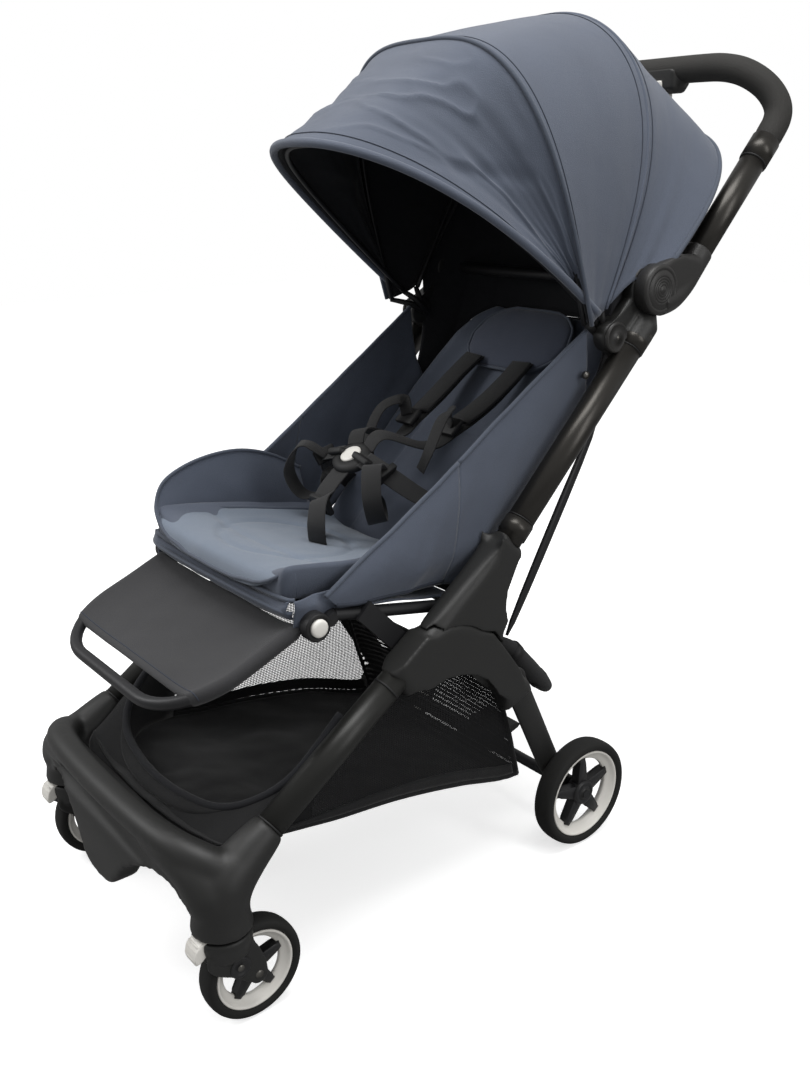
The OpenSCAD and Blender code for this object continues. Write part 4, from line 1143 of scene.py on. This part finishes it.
# front bib between the nose and the bound opening rim
OUTER = [(183, -372, 221), (180, -400, 203), (160, -424, 193), (118, -436, 186), (46, -441, 183), (0, -442, 183)]
INNER = [(176, -250, 312), (182, -320, 262), (160, -362, 234), (118, -388, 216), (52, -400, 208), (0, -403, 206)]


def bib(u, v):
    t = 1 - abs(2 * u - 1)
    a, b = along(OUTER, t), along(INNER, t)
    p = a + (b - a) * v
    k = 1 if u >= 0.5 else -1
    z = p.z - 3 * math.sin(math.pi * v) * t + 1.3 * rumple((p.x * k, p.y, p.z), (22, 18, 4),
        71) * math.sin(math.pi * v)
    return (p.x * k, p.y, z)


ob = grid("basket_bib", bib, 80, 16, "basket", "front_frame", 2.2, 0.0)
bar("basket_rim", [bib(k / 80, 1.0) for k in range(81)], 5.0, "lining", "front_frame", 14)


def basket_front(u, v):
    top = Vector(bib(u, 1.0))
    k = 2 * u - 1
    low = Vector(basket_floor(0.5 + 0.5 * k * 0.98, 0.06 + 0.30 * abs(k) ** 3))
    p = top + (low - top) * v
    p.y -= 8 * math.sin(math.pi * v)
    return tuple(p)


ob = grid("basket_front", basket_front, 60, 14, "basket", "front_frame", 1.6, 0.0)


# ---------------------------------------------------------------- harness
def strap(name, path, width, mat, body, normal=(0, -0.7, 0.7), thick=1.8, replaces=(), twist=None):
    """Flat webbing along a path, its face turned to normal."""
    pts = spline(path)
    n = len(pts)
    verts, faces = [], []
    for i, p in enumerate(pts):
        d = (pts[min(i + 1, n - 1)] - pts[max(i - 1, 0)]).normalized()
        nn = Vector(normal if not twist else [lerp([(j / (len(twist) - 1), q[c]) for j, q in enumerate(twist)],
            i / (n - 1)) for c in range(3)])
        s = d.cross(nn).normalized()
        up = s.cross(d).normalized()
        for a, b in ((-1, -0.6), (-0.92, -1), (0.92, -1), (1, -0.6), (1, 0.6), (0.92, 1), (-0.92, 1), (-1, 0.6)):
            verts.append(tuple(p + s * width / 2 * a + up * thick / 2 * b))
    for i in range(n - 1):
        for k in range(8):
            m = (k + 1) % 8
            faces.append((i * 8 + k, i * 8 + m, (i + 1) * 8 + m, (i + 1) * 8 + k))
    faces += [tuple(range(7, -1, -1)), tuple((n - 1) * 8 + k for k in range(8))]
    ob = add(name, verts, faces, mat, body, replaces=replaces)
    # the length is the drawn path's own
    return ob


def block(name, at, size, mat, body, rot=(0, 0, 0), width=1.5, replaces=()):
    """A rounded box in millimetres."""
    bm = bmesh.new()
    bmesh.ops.create_cube(bm, size=1)
    m = Matrix.Translation(Vector(at)) @ (Matrix.Rotation(math.radians(rot[2]), 4,
        "Z") @ Matrix.Rotation(math.radians(rot[1]), 4, "Y") @ Matrix.Rotation(math.radians(rot[0]), 4, "X"))
    bmesh.ops.scale(bm, vec=Vector(size), verts=bm.verts)
    bmesh.ops.bevel(bm, geom=bm.edges[:], offset=width, segments=3, profile=0.5, affect="EDGES")
    bmesh.ops.transform(bm, matrix=m, verts=bm.verts)
    bm.verts.index_update()
    v, f = [tuple(q.co) for q in bm.verts], [tuple(q.index for q in p.verts) for p in bm.faces]
    bm.free()
    return add(name, v, f, mat, body, replaces=replaces)


BUCKLE = Vector((0, -96, 556))
for side, sg in SIDES:
    anchor = on_back(330, 22, sg * 48)
    strap("shoulder_strap_" + side, [anchor, on_back(290, 30, sg * 50), on_back(240, 40, sg * 48),
        on_back(190, 56, sg * 42), on_back(150, 74, sg * 33), (sg * 22, -64, 586), (sg * 14, -82, 570)], 27, "web",
        "backrest", thick=2.2, replaces=["shoulder_straps"] if sg > 0 else ())
    strap("shoulder_pad_" + side, [on_back(326, 29, sg * 48), on_back(290, 36, sg * 50), on_back(245, 46, sg * 48),
        on_back(205, 58, sg * 43)], 34, "web", "backrest", thick=4.5)
    block("shoulder_adjuster_" + side, on_back(188, 68, sg * 43), (34, 26, 7), "black", "backrest", (42, 0, 0), 2.2)
    strap("shoulder_loop_" + side, [on_back(188, 72, sg * 43), on_back(200, 88, sg * 50), on_back(176, 100, sg * 62),
        on_back(140, 92, sg * 64), on_back(112, 78, sg * 56)], 20, "web", "backrest", thick=1.8)
    strap("hip_strap_" + side, [(sg * 142, 8, 470), (sg * 128, -20, 492), (sg * 98, -64, 520), (sg * 62, -92, 548),
        (sg * 26, -98, 560)], 26, "web", "front_frame", normal=(0.2 * sg, -0.5, 0.85), thick=2.0)
    strap("hip_loop_" + side, [(sg * 60, -98, 550), (sg * 78, -124, 566), (sg * 92, -136, 530), (sg * 84, -122, 496),
        (sg * 62, -104, 500), (sg * 44, -98, 536)], 24, "web", "front_frame", normal=(0, 1, 0.2),
        twist=[(0, -0.3, 1), (0.6 * sg, -0.8, 0.3), (1.0 * sg, -0.4, 0), (0.5 * sg, 0, -1), (-0.6 * sg, 0.2, -0.8),
            (0, -0.3, 1)], thick=2.0)
    block("hip_adjuster_" + side, (sg * 66, -94, 548), (9, 30, 20), "black", "front_frame", (20, sg * 30, sg * 20),
        2.0)
    block("tongue_" + side, (sg * 26, -96, 558), (30, 26, 9), "black", "front_frame", (-28, sg * 14, 0), 3.0)
strap("crotch_strap", [(0, -152, 452), (0, -158, 474), (0, -154, 500), (0, -138, 524), (0, -112, 546)], 32, "web",
    "front_frame", normal=(0, -1, 0.4), thick=2.4, replaces=["crotch_strap"])
strap("crotch_loop", [(8, -140, 516), (26, -168, 520), (38, -182, 496), (34, -178, 468), (18, -164, 458)], 25, "web",
    "front_frame", normal=(0, -1, 0.3), twist=[(0, -1, 0.6), (0, -0.6, 1), (0.5, -1, 0), (0.5, -1, -0.4),
        (0, -1, 0.2)], thick=2.0)
block("crotch_adjuster", (4, -150, 506), (38, 8, 24), "black", "front_frame", (20, 0, 0), 2.5)
BUCKLE_TILT = Matrix.Rotation(math.radians(30), 4, "X")


def turned(profile, n=56):
    verts, faces = [], []
    for i in range(n):
        t = 2 * math.pi * i / n
        for r, h in profile:
            p = BUCKLE_TILT @ Vector((r * math.cos(t) * (1.18 if r > 22 else 1), -r * math.sin(t), h))
            verts.append(tuple(BUCKLE + Vector((p.x, p.y, p.z))))
    m = len(profile)
    for i in range(n):
        for k in range(m - 1):
            j = (i + 1) % n
            faces.append((i * m + k, i * m + k + 1, j * m + k + 1, j * m + k))
    return verts, faces


v, f = turned([(0.1, -7), (20, -7), (25, -4), (27, 0), (26, 4), (22, 7), (15.5, 8.2), (15, 7.4), (15, 4), (0.1, 4)])
add("buckle_body", v, f, "black", "front_frame", replaces=["buckle"])
v, f = turned([(0.1, 4.6), (14.2, 4.6), (14.2, 8.4), (13, 9.6), (9, 10.2), (0.1, 10.4)])
add("buckle_button_cap", v, f, "white", "buckle_button", replaces=["buckle_button"])

# ---------------------------------------------------------------- small fittings
bar("carry_strap", spline([(158, 16, 322), (160, 38, 304), (162, 66, 272), (163, 92, 242), (163, 104, 230)], 6),
    [7, 11.5, 12.5, 12, 8], "web", "rear_legs", 20)
for k, (y, z) in enumerate(((40, 301), (86, 249))):
    bar(f"carry_strap_band_{k}", [(161, y - 4, z + 4.5), (161, y + 4, z - 4.5)], 13.4, "black", "rear_legs", 24)

# ---------------------------------------------------------------- room, lights and camera
bpy.ops.mesh.primitive_plane_add(size=14)
floor = bpy.context.object
floor.name = "floor"
floor.location = (0, 0, -0.0004)
floor_mat = bpy.data.materials.new("floor_white")
floor_mat.use_nodes = True
p = floor_mat.node_tree.nodes["Principled BSDF"]
p.inputs["Base Color"].default_value = (0.93, 0.93, 0.93, 1)
p.inputs["Roughness"].default_value = 0.9
p.inputs["Specular IOR Level"].default_value = 0.1
p.inputs["Emission Color"].default_value = (1, 1, 1, 1)
p.inputs["Emission Strength"].default_value = 0.62
ft = floor_mat.node_tree
seen = node(ft, "ShaderNodeLightPath")
dull = node(ft, "ShaderNodeBsdfDiffuse")
dull.inputs[0].default_value = (0.3, 0.3, 0.3, 1)
pick = node(ft, "ShaderNodeMixShader")
ft.links.new(seen.outputs["Is Camera Ray"], pick.inputs[0])
ft.links.new(dull.outputs[0], pick.inputs[1])
ft.links.new(p.outputs[0], pick.inputs[2])
ft.links.new(pick.outputs[0], ft.nodes["Material Output"].inputs[0])
floor.data.materials.append(floor_mat)

scene = bpy.context.scene
world = bpy.data.worlds.new("room")
scene.world = world
world.use_nodes = True
wt = world.node_tree
seen = node(wt, "ShaderNodeLightPath")
power = node(wt, "ShaderNodeMapRange")
power.inputs["To Min"].default_value = 0.42
power.inputs["To Max"].default_value = 1.0
wt.links.new(seen.outputs["Is Camera Ray"], power.inputs["Value"])
wt.nodes["Background"].inputs[0].default_value = (1, 1, 1, 1)
wt.links.new(power.outputs[0], wt.nodes["Background"].inputs[1])


def light(name, at, aim, size, power, color=(1, 1, 1)):
    data = bpy.data.lights.new(name, "AREA")
    data.shape = "RECTANGLE"
    data.size, data.size_y = size
    data.energy = power
    data.color = color
    ob = bpy.data.objects.new(name, data)
    ob.location = at
    ob.rotation_euler = (Vector(aim) - Vector(at)).to_track_quat("-Z", "Y").to_euler()
    scene.collection.objects.link(ob)


light("overhead", (0.3, -0.2, 2.6), (0, 0, 0.6), (1.6, 1.2), 40)
light("left", (-1.6, -1.9, 2.0), (0, 0, 0.5), (0.9, 1.4), 26)
light("right", (2.4, 0.5, 1.5), (0, 0, 0.5), (0.8, 1.6), 16)

CAMERA_AT = (1.11405, -0.89151, 0.90831)  # metres
BEARING, DOWN, ROLL = math.radians(51.75), math.radians(19.03), math.radians(-0.75)
d = Vector((-math.sin(BEARING) * math.cos(DOWN), math.cos(BEARING) * math.cos(DOWN), -math.sin(DOWN)))
r = Vector((math.cos(BEARING), math.sin(BEARING), 0))
u = r.cross(d)
r2 = math.cos(ROLL) * r + math.sin(ROLL) * u
u2 = -math.sin(ROLL) * r + math.cos(ROLL) * u
cam_data = bpy.data.cameras.new("camera")
cam_data.lens = 36.15
cam_data.sensor_width = 36
camera = bpy.data.objects.new("camera", cam_data)
m = Matrix((r2, u2, -d)).transposed().to_4x4()
m.translation = CAMERA_AT
camera.matrix_world = m
scene.collection.objects.link(camera)
scene.camera = camera
scene.view_settings.view_transform = "Standard"
